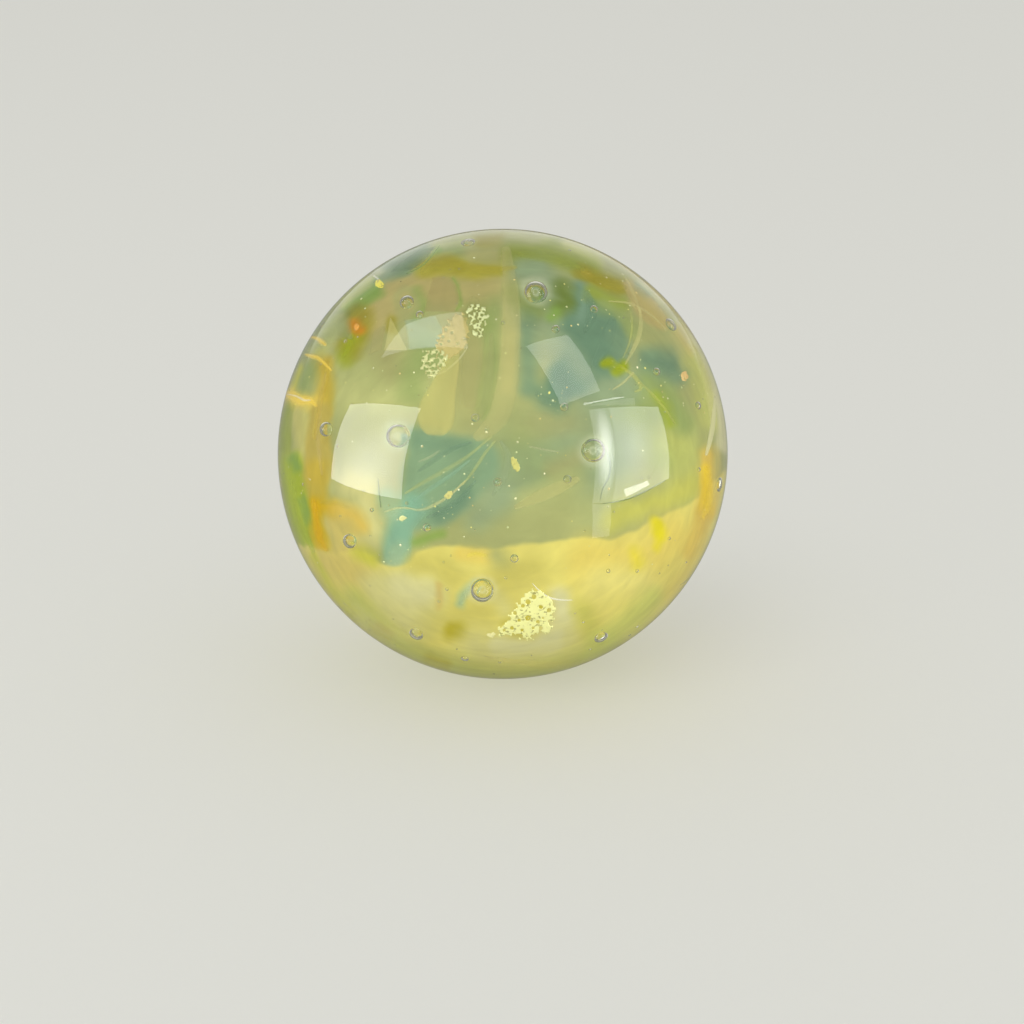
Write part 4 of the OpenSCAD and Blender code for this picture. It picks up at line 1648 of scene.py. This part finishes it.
THREAD_FRONT = (
    ribbon(T.LIME_PALE, (3, 6, 7, 5, 2), 0.5, 0.9, (404, 494), (424, 482), (446, 470), (468, 456),
           (492, 436)),
    ribbon(T.CREAM, (2, 4, 5, 4, 2), 0.7, 0.9, (404, 507), (420, 510), (434, 505), (450, 495), (466, 480)),
    ribbon(T.LIME_PALE, (2, 5, 5, 2), 0.5, 0.9, (462, 486), (474, 470), (486, 452), (496, 440)),
    ribbon(T.CREAM_PALE, (2, 3, 3, 2), 0.6, 0.9, (428, 378), (446, 370), (460, 358), (468, 346)),
    ribbon(T.CREAM, (2, 4, 4, 3, 2), 0.55, 0.9, (608, 301), (628, 303), (642, 309), (656, 319), (667, 331)),
    ribbon(T.LIME_PALE, (3, 6, 7, 5, 2), 0.6, 0.8, (620, 366), (634, 376), (641, 388), (634, 392)),
    ribbon(T.LIME_PALE, (2, 5, 5, 4, 2), 0.5, 0.9, (640, 382), (654, 396), (666, 410), (675, 424)),
    ribbon(T.CREAM, (2, 4, 4, 2), 0.5, 0.9, (634, 372), (624, 382), (612, 390)),
    ribbon(T.CREAM_GREY, (2, 4, 4, 2), 0.5, 0.9, (418, 462), (430, 457), (440, 450)),
    ribbon(T.CREAM_GREY, (2, 4, 4, 2), 0.4, 0.9, (528, 446), (546, 450), (560, 452)),
    # Painted highlight: a white arc of light beside the bright leaf
    ribbon(T.GLEAM, (0.8, 1.8, 2.4, 1.6, 0.6), 0.85, 0.8, (532, 583), (541, 592), (551, 598), (563, 600),
           (573, 600)),
    ribbon(T.SEA_DARK, (2, 3, 2), 0.6, 0.8, (378, 478), (379, 492), (381, 508)),
    ribbon(T.CREAM, (2, 3, 3, 2), 0.6, 0.9, (384, 512), (398, 508), (410, 509)),
    # Painted highlight: a short bright line by the yellow glint
    ribbon(T.GLEAM, (2, 3, 3, 2), 0.6, 0.8, (373, 275), (378, 279), (382, 284)),
    ribbon(T.LEAF, (1, 2.4, 2.4, 1), 0.8, 0.8, (440, 245), (430, 258), (420, 267), (406, 274)),
    ribbon(T.SEA_DARK, (1.2, 2.8, 2.4, 1), 0.7, 0.8, (604, 448), (610, 462), (609, 476), (603, 488),
           (600, 500)),
    ribbon(T.SEA_DARK, (1.2, 2.8, 2.4, 1), 0.7, 0.8, (602, 504), (624, 500), (642, 493), (666, 480)),
    ribbon(T.LIME_PALE, (1.5, 3, 3, 1.5), 0.45, 0.7, (631, 312), (632, 328), (629, 344), (623, 358)),
    ribbon(T.CREAM, (2, 4, 4, 2), 0.5, 0.6, (625, 276), (631, 289), (637, 302), (641, 314)),
)
THREAD_REST = (
    sweep(T.CREAM, 0.8, 0.9, (140, 12, -40, 46, 1.4, 0)),
    sweep(T.LIME_PALE, 0.7, 0.9, (156, 4, -42, 34, 1.2, 0)),
    sweep(T.CREAM, 0.8, 0.9, (-164, 22, 36, 48, 1.4, 0)),
    sweep(T.LIME_PALE, 0.7, 0.9, (-112, 4, -60, 40, 1.2, 0)),
    sweep(T.CREAM, 0.7, 0.9, (-102, -8, -62, 30, 1.2, 0)),
    sweep(T.CREAM_PALE, 0.7, 0.9, (-130, -42, 24, 38, 1.2, 0)),
    sweep(T.LIME_PALE, 0.7, 0.9, (110, -34, 18, 36, 1.2, 0)),
)


# Seeds of a flake's tears, lace and creases, to which its number is added
TEAR_SEED, LACE_SEED = 40, 60
# Width of the tears and of the lace's holes in cells of the mesh, and how steep those holes are.
# How far the mesh starts from the edge in cells, the step that a slope is taken over, and the
# least square of a slope
TEAR_CELLS, LACE_CELLS, LACE_STEEP = 6, 4.2, 2.5
MARGIN_CELLS, SLOPE_CELLS, LEAST_SLOPE = 3, 0.2, 0.2
# Creases: share of the height, width as a share of the crumple and seed
CREASES = ((0.35, 1.0, 60), (0.5, 2.4, 80))
# Back flakes: steps round one, turn from pinhole to pinhole in degrees, how near the edge the
# pinholes go, their radius in degrees, and the size of the mesh with and without them
OVAL_STEPS = 28
SUNFLOWER_TURN = 137.5
PINHOLE_REACH = 0.62
PINHOLE_RADIUS = 0.6
OVAL_CELLS = (0.3, 0.12)


@dataclass(frozen=True)
class Flake:
    """A flake of gold leaf, as it is seen from one side.

    Attributes:
        leaf: Colour of its gold, as an sRGB hex value.
        edge: Places in the picture round its edge.
        holes: Pinholes: place and radius.
        torn: How far its edge is torn in and out, in the picture's unit.
        cell: Size of its mesh, in the same unit.
        lace: How far the leaf has shrunk to a lace, from 0 for whole to 1 for half gone.
    """

    leaf: str
    edge: tuple[Place, ...]
    holes: tuple[Triple, ...] = ()
    torn: float = 1.6
    cell: float = 1.0
    lace: float = 0.0

    def ring(self) -> np.ndarray:
        """Its edge before it is torn, as a smooth closed line."""
        return spline(np.array(self.edge, float), EDGE_STEPS * len(self.edge), closed=True)

    def outside(self, places: np.ndarray, number: int) -> np.ndarray:
        """How far places are outside the leaf, below zero on it.

        Args:
            places: Places in the picture, one a row.
            number: Tells its tears and lace from another flake's.

        Returns:
            One distance a place.
        """
        tears = ripple(places, TEAR_CELLS * self.cell, TEAR_SEED + number)
        gap = gap_to_ring(places, self.ring()) + self.torn * tears
        for across, down, radius in self.holes:
            gap = np.maximum(gap, radius - np.linalg.norm(places - (across, down), axis=1))
        if self.lace:
            melt = ripple(places, LACE_CELLS * self.cell, LACE_SEED + number) - 1 + self.lace
            gap = np.maximum(gap, LACE_STEEP * self.cell * melt)
        return gap


def torn_oval(leaf: str, place: tuple[float, ...]) -> tuple[Facing, Flake]:
    """A flake like the CAD's: an oval with a ragged edge, and pinholes on a sunflower spiral.

    The edge goes in and out by two sine waves, of three crests and of seven.

    Args:
        leaf: Colour of its gold.
        place: Azimuth, elevation, roll, length and width in degrees, and how many pinholes.

    Returns:
        How it is seen, and the flake.
    """
    azimuth, elevation, roll, length, width, pinholes = place
    turn = np.arange(OVAL_STEPS) * 2 * np.pi / OVAL_STEPS
    ragged = 1 + 0.12 * np.sin(3 * turn) + 0.08 * np.sin(7 * turn + 0.7)
    edge = np.column_stack([length / 2 * ragged * np.cos(turn), -width / 2 * ragged * np.sin(turn)])
    count = np.arange(1, pinholes + 1)
    spin = np.radians(SUNFLOWER_TURN * count)
    reach = PINHOLE_REACH * np.sqrt(count / max(pinholes, 1)) / 2
    radius = np.full(len(count), PINHOLE_RADIUS)
    holes = np.column_stack([length * reach * np.cos(spin), -width * reach * np.sin(spin), radius])
    cell = OVAL_CELLS[0] if pinholes else OVAL_CELLS[1]
    flake = Flake(leaf, tuple(map(tuple, edge)), tuple(map(tuple, holes)), cell, cell)
    return Facing(azimuth, elevation, roll), flake


FLAKE_FRONT = (
    Flake(
        "#D9E0A2",
        ((468, 306), (478, 303), (486, 308), (489, 318), (484, 328), (480, 338), (473, 336), (471, 326),
         (468, 316)),
        ((475, 311, 1.8), (482, 315, 1.6), (477, 321, 2.2), (483, 324, 1.5), (476, 330, 1.8),
         (471, 318, 1.2)),
        lace=0.5,
    ),
    Flake(
        "#BEB168",
        ((452, 316), (462, 313), (468, 322), (468, 336), (464, 348), (454, 356), (444, 356), (436, 346),
         (440, 334), (446, 324)),
        ((446, 330, 1.8), (443, 337, 1.6), (449, 325, 1.4), (452, 333, 1.5), (458, 344, 1.6),
         (449, 341, 1.3), (441, 344, 1.2)),
    ),
    Flake(
        "#D2D492",
        ((424, 352), (434, 350), (446, 352), (447, 362), (440, 370), (432, 378), (425, 374), (421, 362)),
        ((430, 356, 2.0), (436, 361, 2.4), (441, 357, 1.6), (428, 363, 1.5), (433, 368, 1.7),
         (441, 365, 1.4), (427, 369, 1.3)),
        lace=0.55,
    ),
    # Its near-white yellow is partly the leaf's own colour and partly a painted highlight
    Flake(
        "#FFFFAC",
        ((496, 630), (504, 625), (512, 613), (520, 602), (530, 591), (540, 591), (549, 597), (555, 610),
         (552, 622), (549, 634), (538, 632), (528, 640), (516, 634), (506, 636)),
        ((534, 597, 2.4), (528, 602, 2.6), (523, 606, 2.0), (515, 613, 1.8), (541, 607, 2.0),
         (549, 610, 2.2), (528, 618, 2.8), (519, 620, 1.6), (538, 622, 1.8), (543, 618, 1.2),
         (533, 628, 1.4), (541, 628, 2.0), (512, 628, 1.8), (504, 630, 1.6), (549, 621, 1.4),
         (522, 630, 1.6)),
        torn=2.2,
    ),
    Flake("#D6D07C", ((444, 496), (450, 491), (453, 494), (449, 499)), torn=0.5, cell=0.7),
    Flake(
        "#D2CE72",
        ((511, 458), (515, 458), (519, 464), (520, 470), (516, 471), (512, 466)),
        torn=0.4,
        cell=0.7,
    ),
    # A crumb of leaf whose bright colour is partly a painted glint
    Flake("#E2E29A", ((399, 517), (402, 515), (406, 517), (405, 521), (400, 521)), torn=0.5, cell=0.7),
    Flake("#FBF6B0", ((487, 635), (491, 633), (496, 634), (493, 637), (489, 637)), torn=0.6, cell=0.7),
    # A crumb of leaf whose bright yellow is partly a painted glint
    Flake("#F4EA4A", ((376, 281), (380, 280), (384, 284), (381, 288), (376, 286)), torn=0.6, cell=0.7),
    Flake("#E8A436", ((354, 326), (356, 323), (359, 325), (358, 330), (355, 330)), torn=0.5, cell=0.7),
    Flake("#DFBC74", ((682, 372), (687, 372), (688, 378), (684, 381), (681, 377)), torn=0.5, cell=0.7),
)
FLAKE_REST = (
    torn_oval("#EFE6A8", (128, 30, -50, 22, 10, 12)),
    torn_oval("#EADFA0", (-134, -4, 30, 24, 11, 14)),
    torn_oval("#FFF6A4", (-176, -46, 70, 20, 11, 12)),
    torn_oval("#F0DE90", (104, 0, 15, 4, 2, 0)),
    torn_oval("#F0E28C", (162, 20, 75, 5, 2.4, 0)),
    torn_oval("#F4EA7A", (-158, 50, 0, 4, 3, 0)),
    torn_oval("#E8C070", (-90, -6, 55, 5, 2, 0)),
)


# Drifts of crumbs: place in the picture, spread and count
CRUMB_DRIFTS = (
    (446, 500, 22, 26), (500, 450, 30, 12), (560, 330, 36, 26), (640, 400, 34, 26), (480, 300, 30, 8),
    (385, 370, 24, 10), (555, 400, 16, 14), (600, 300, 26, 20), (410, 550, 20, 9), (560, 500, 40, 8),
    (300, 500, 14, 9), (690, 390, 16, 12),
)
# Vertices round a crumb, and its rings
CRUMB_MESH = (6, 3)
CRUMB_COLOURS = ("#E6E8AE", "#E4DE7C", "#D2D6A0", "#F6F3C4", "#CED896", "#DCC87A")


@dataclass
class FoilFlakes:
    """All the flakes of gold leaf.

    Attributes:
        layer: Least and greatest distance from the ball's centre.
        leaf: Thickness of the leaf, thicker than real leaf so that it prints and bakes.
        crumple_mm: Width of its creases.
        crumbs: How many crumbs of leaf are scattered over the whole ball.
        crumb_d: Smallest and largest width of a crumb.
        flattened: How much thinner than wide a crumb is.
        seed: Fixes where the crumbs lie.
    """

    layer: Pair
    leaf: float = 0.04
    crumple_mm: float = 0.9
    crumbs: int = 170
    crumb_d: Pair = (0.06, 0.2)
    flattened: float = 0.6
    seed: int = 9

    def sheet(self, flake: Flake, view: Sight | Facing, number: int, shell: Shell) -> None:
        """Adds one flake: a crumpled grid cut to its torn edge and its pinholes, closed by a rim.

        Cells of the grid inside the leaf are kept, and vertices next to its edge are slid onto it
        along the slope of their distance from it.

        Args:
            flake: The flake.
            view: How its places are seen.
            number: Tells its creases from another flake's.
            shell: Where it goes.
        """
        cell = flake.cell
        ring, margin = flake.ring(), MARGIN_CELLS * cell + flake.torn
        low, high = ring.min(axis=0) - margin, ring.max(axis=0) + margin
        columns, rows = np.ceil((high - low) / cell).astype(int)
        across, down = low[0] + cell * np.arange(columns), low[1] + cell * np.arange(rows)
        grid = np.stack(np.meshgrid(across, down), axis=-1).reshape(-1, 2)
        gap, step = flake.outside(grid, number), SLOPE_CELLS * cell
        ahead = [flake.outside(grid + aside, number) - gap for aside in ((step, 0), (0, step))]
        slope = np.stack(ahead, axis=1) / step
        slide = (gap / np.maximum((slope**2).sum(axis=1), LEAST_SLOPE))[:, None] * slope
        near = np.abs(gap)[:, None] < cell / 2
        grid = np.where(near, grid - np.clip(slide, -cell / 2, cell / 2), grid)
        faces = grid_faces(rows, columns, closed=False)
        faces = faces[(gap[faces] < cell / 2).all(axis=1) & (gap[faces].mean(axis=1) < 0)]
        used, faces = np.unique(faces, return_inverse=True)
        faces, total = faces.reshape(-1, 4), len(used)
        inner, outer = self.layer
        middle, room = (inner + outer) / 2, (outer - inner - self.leaf) / 2
        base = view.onto(grid[used], middle)
        creases = sum(
            share * ripple(base, width * self.crumple_mm, seed + number) for share, width, seed in CREASES
        )
        height = middle + room * np.clip(creases, -1, 1)
        top, bottom = (unit(base) * (height + half)[:, None] for half in (self.leaf / 2, -self.leaf / 2))
        edges = np.concatenate([faces[:, [k, (k + 1) % 4]] for k in range(4)])
        there, back = edges[:, 0] * total + edges[:, 1], edges[:, 1] * total + edges[:, 0]
        a, b = edges[~np.isin(there, back)].T
        rim = np.stack([a, a + total, b + total, b], axis=1)
        tint = np.tile(linear(flake.leaf), (2 * total, 1))
        shell.add(np.vstack([top, bottom]), [faces, faces[:, ::-1] + total, rim], tint=tint)

    def scatter(self, shell: Shell) -> None:
        """Adds the crumbs: flat beads of six sides, evenly over the ball and thick in some drifts."""
        draw = np.random.default_rng(self.seed)
        middle = sum(self.layer) / 2
        places = [middle * unit(draw.normal(size=(self.crumbs, 3)))]
        for across, down, spread, count in CRUMB_DRIFTS:
            near = draw.normal(size=(count, 2)) * spread + (across, down)
            places.append(Sight().onto(near, middle))
        spots = np.vstack(places)
        low, high = self.crumb_d
        widths = low + (high - low) * draw.random(len(spots)) ** 3
        golds = np.array([linear(colour) for colour in CRUMB_COLOURS])
        tints = golds[draw.integers(len(golds), size=len(spots))]
        bead, faces = globe(0.5, *CRUMB_MESH)
        for spot, width, tint in zip(spots, widths, tints):
            out = unit(spot)
            flat = bead * width - self.flattened * width * (bead @ out)[:, None] * out
            shell.add(flat + spot, faces, tint=np.tile(tint, (len(bead), 1)))

    def build(self) -> Object:
        """Makes the piece."""
        shell = Shell()
        placed = [(Sight(), flake) for flake in FLAKE_FRONT] + list(FLAKE_REST)
        for number, (view, flake) in enumerate(placed):
            self.sheet(flake, view, number, shell)
        self.scatter(shell)
        return place_piece(shell.piece("gold_leaf_flakes", GoldFoil().material()), "foil_flakes")


# ---------- The studio ----------

# Lit cards: cloth, corners of its reflection in the picture and distance from the ball's skin
CARDS = (
    (SoftboxCloth("left_softbox", 5.2, ((0.62, 0.66, 0.5, 4.0), (0.35, 0.95, 0.5, 1.5))),
     ((351, 404), (421, 408), (402, 499), (331, 478)), 80),
    (SoftboxCloth("right_softbox", 4.4, ((0.35, 0.45, 0.5, 2.6),)),
     ((609, 408), (658, 407), (669, 478), (612, 503)), 80),
    (SoftboxCloth("strip_light", 2.6, ((0.55, 0.45, 0.55, 13.0),)),
     ((589, 410), (609, 408), (612, 503), (592, 503)), 80),
    (SoftboxCloth("header", 1.6), ((590, 405), (634, 398), (636, 406), (592, 406)), 180),
    (SoftboxCloth("strip_tail", 2.4), ((592, 504), (611, 504), (609, 536), (592, 538)), 30),
    (SoftboxCloth("edge_light", 9.0), ((584, 403.5), (624, 396.5), (624, 398), (584, 405)), 180),
    (SoftboxCloth("bar_light", 13.0), ((624, 489), (646, 481), (650, 484), (626, 497)), 70),
    (SoftboxCloth("upper_softbox", 3.3), ((526, 346), (568, 335), (600, 391), (561, 406)), 300),
    (SoftboxCloth("faint_softbox", 2.6), ((405, 325), (462, 312), (468, 349), (381, 358)), 300),
)
# Vertices along each side of a card
CARD_SIDE = 9
# Lamps: name, place, width and height, and watts. The low ones' light is kept off the floor
KEY_LAMP = ("key_lamp", (-250, -260, 420), (300, 300), 0.3)
LOW_LAMPS = (
    ("low_front_lamp", (30, -420, 24), (400, 76), 0.56),
    ("low_left_lamp", (-420, -40, 24), (400, 76), 0.2),
    ("low_right_lamp", (420, -40, 24), (400, 76), 0.34),
)


@dataclass
class Studio:
    """Plain pale floor, soft light and the camera.

    Attributes:
        sight: The eye at the ball's best side.
        floor_half: Half the width of the floor.
        walls: Colour of the pale walls.
        sky: Their brightness, where white is 1.
        dim: Their brightness in a mirror, where dark flags hide most of them, as for glassware.
        rim: Brightness of the wall behind the ball in a mirror, which lights the ball's edge.
        back_wall: How nearly a direction runs to that wall where it starts and where it is full.
        bounces: How often a light path bounces, at most.
        bent_bounces: How many of those bounces go through glass.
        clear_bounces: How often it goes straight through a film or the skin.
    """

    sight: Sight
    floor_half: float = 4000.0
    walls: str = "#F4F4F0"
    sky: float = 0.83
    dim: float = 0.3
    rim: float = 0.9
    back_wall: Pair = (0.74, 0.96)
    bounces: int = 16
    bent_bounces: int = 12
    clear_bounces: int = 48

    def camera(self) -> None:
        """Puts the camera where the eye is."""
        lens = bpy.data.cameras.new("camera")
        lens.sensor_width = 36.0
        lens.lens = self.sight.focal / PICTURE * lens.sensor_width
        lens.clip_start = MM
        made = bpy.data.objects.new("camera", lens)
        made.location = self.sight.eye() * MM
        made.rotation_euler = (np.radians(90 - self.sight.pitch), 0, 0)
        bpy.context.scene.collection.objects.link(made)
        bpy.context.scene.camera = made

    def floor(self) -> Object:
        """Lays the paper that the ball stands on."""
        shell = Shell()
        side = np.linspace(-self.floor_half, self.floor_half, 3)
        x, y = np.meshgrid(side, side)
        points = np.column_stack([x.ravel(), y.ravel(), np.full(x.size, -self.sight.radius)])
        shell.add(points, [grid_faces(3, 3, closed=False)[:, ::-1]])
        made = shell.piece("floor", PaleFloor().material())
        return made

    def softbox(self, cloth: SoftboxCloth, reflection: tuple[Place, ...], away: float) -> None:
        """Hangs a lit card so that the ball's skin shows it in one place.

        Args:
            cloth: Its cloth. The card has the cloth's name.
            reflection: Four places in the picture, round the reflection.
            away: Distance from the ball's skin.
        """
        a, b, c, d = self.sight.mirrored(np.array(reflection, float), away)
        side = np.linspace(0, 1, CARD_SIDE)
        u, v = (share.ravel()[:, None] for share in np.meshgrid(side, side))
        points = (1 - v) * ((1 - u) * a + u * b) + v * ((1 - u) * d + u * c)
        shell = Shell()
        faces = grid_faces(CARD_SIDE, CARD_SIDE, closed=False)
        shell.add(points, [faces], cloth=np.column_stack([u, v, 0 * u]))
        made = shell.piece(cloth.name, cloth.material())
        made.visible_camera = False
        made.visible_diffuse = False
        made.visible_shadow = False

    def lamp(self, name: str, place: Triple, size: Pair, watts: float, shaded: Object | None = None) -> None:
        """Hangs an area lamp that faces the ball.

        Args:
            name: The lamp's name.
            place: Where it hangs, in millimetres.
            size: Its width and height.
            watts: Its power.
            shaded: What its light is kept off, as a card under a low lamp keeps it off the table.
        """
        light = bpy.data.lights.new(name, "AREA")
        light.shape = "RECTANGLE"
        light.size, light.size_y = size[0] * MM, size[1] * MM
        light.energy = watts
        made = bpy.data.objects.new(name, light)
        made.location = np.array(place) * MM
        made.rotation_euler = (-made.location).to_track_quat("-Z", "Y").to_euler()
        made.visible_glossy = False
        made.visible_camera = False
        bpy.context.scene.collection.objects.link(made)
        if shaded:
            kept_off = bpy.data.collections.new(f"{name}_kept_off")
            kept_off.objects.link(shaded)
            kept_off.collection_objects[0].light_linking.link_state = "EXCLUDE"
            made.light_linking.receiver_collection = kept_off

    def world(self) -> None:
        """Surrounds the ball with pale walls. In a mirror they are dark, but for the wall behind the ball.

        How far a sight line runs towards that wall is the second part of its direction. The wall
        brightens from the low end of `back_wall` to the high end.
        """
        made = bpy.data.worlds.new("pale_walls")
        made.use_nodes = True
        tree = made.node_tree
        tree.nodes.clear()
        pale = linear(self.walls)
        wall = add(tree, "Background", {"Color": pale, "Strength": self.sky}).outputs[0]
        aim = add(tree, "TexCoord").outputs["Generated"]
        back = add(tree, "VectorMath", {0: aim, 1: (0, 1, 0)}, operation="DOT_PRODUCT").outputs["Value"]
        near, full = self.back_wall
        span = {"Value": back, "From Min": near, "From Max": full, "To Min": self.dim, "To Max": self.rim}
        lift = add(tree, "MapRange", span, interpolation_type="SMOOTHSTEP").outputs[0]
        flag = add(tree, "Background", {"Color": pale, "Strength": lift}).outputs[0]
        mirrored = add(tree, "LightPath").outputs["Is Singular Ray"]
        seen = add(tree, "MixShader", {0: mirrored, 1: wall, 2: flag}).outputs[0]
        add(tree, "OutputWorld", {"Surface": seen})
        bpy.context.scene.world = made

    def build(self) -> None:
        """Sets the whole studio up."""
        self.camera()
        floor = self.floor()
        self.world()
        for cloth, reflection, away in CARDS:
            self.softbox(cloth, reflection, away)
        self.lamp(*KEY_LAMP)
        for lamp in LOW_LAMPS:
            self.lamp(*lamp, shaded=floor)
        scene = bpy.context.scene
        scene.view_settings.view_transform = "Standard"
        scene.cycles.max_bounces = self.bounces
        scene.cycles.transparent_max_bounces = self.clear_bounces
        scene.cycles.transmission_bounces = self.bent_bounces


def layer_radii(nodes: dict[str, Object], node: str) -> Pair:
    """Least and greatest distance of a CAD node's vertices from the ball's centre, in millimetres."""
    mesh = nodes[node].data
    flat = np.empty(len(mesh.vertices) * 3, np.float32)
    mesh.vertices.foreach_get("co", flat)
    reach = np.linalg.norm(flat.reshape(-1, 3), axis=1) / MM
    return float(reach.min()), float(reach.max())


def corners(bounds: object) -> list[list[float]]:
    """A box as plain lists of numbers."""
    return [[float(x) for x in corner] for corner in bounds]


def main() -> None:
    """Builds the marble and its studio, and reports each piece."""
    logging.basicConfig(level=logging.INFO, format="%(message)s", force=True)
    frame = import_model()
    nodes = frame["nodes"]
    radius = float(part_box("clear_casing")[1].z) / MM
    Studio(Sight(radius=radius)).build()
    ClearCasing(radius).build()
    sides = (
        Side(140.0, BACK_RIGHT_HEART, 70, 24),
        Side(-140.0, BACK_LEFT_HEART, 70, 24),
        Side(0.0, FRONT_HEART, 108, 14),
    )
    OpalHeart(radius, layer_radii(nodes, "green_opal")[1], sides).build()
    for name, node, slot, front, rest, glass in (
        ("sea_green_films", "teal_veils", "teal_glass", TEAL_FRONT, TEAL_REST, "sea_green_film"),
        ("tan_curtain_films", "tan_curtains", "tan_glass", TAN_FRONT, TAN_REST, "tan_film"),
        ("amber_films", "amber_veils", "amber_glass", AMBER_FRONT, AMBER_REST, "amber_film"),
        ("drawn_threads", "glass_threads", "cream_glass", THREAD_FRONT, THREAD_REST, "thread_glass"),
    ):
        FilmLayer(name, node, slot, front, rest, layer_radii(nodes, node), FilmGlass(glass)).build()
    FoilFlakes(layer_radii(nodes, "foil_flakes")).build()


if __name__ == "__main__":
    main()
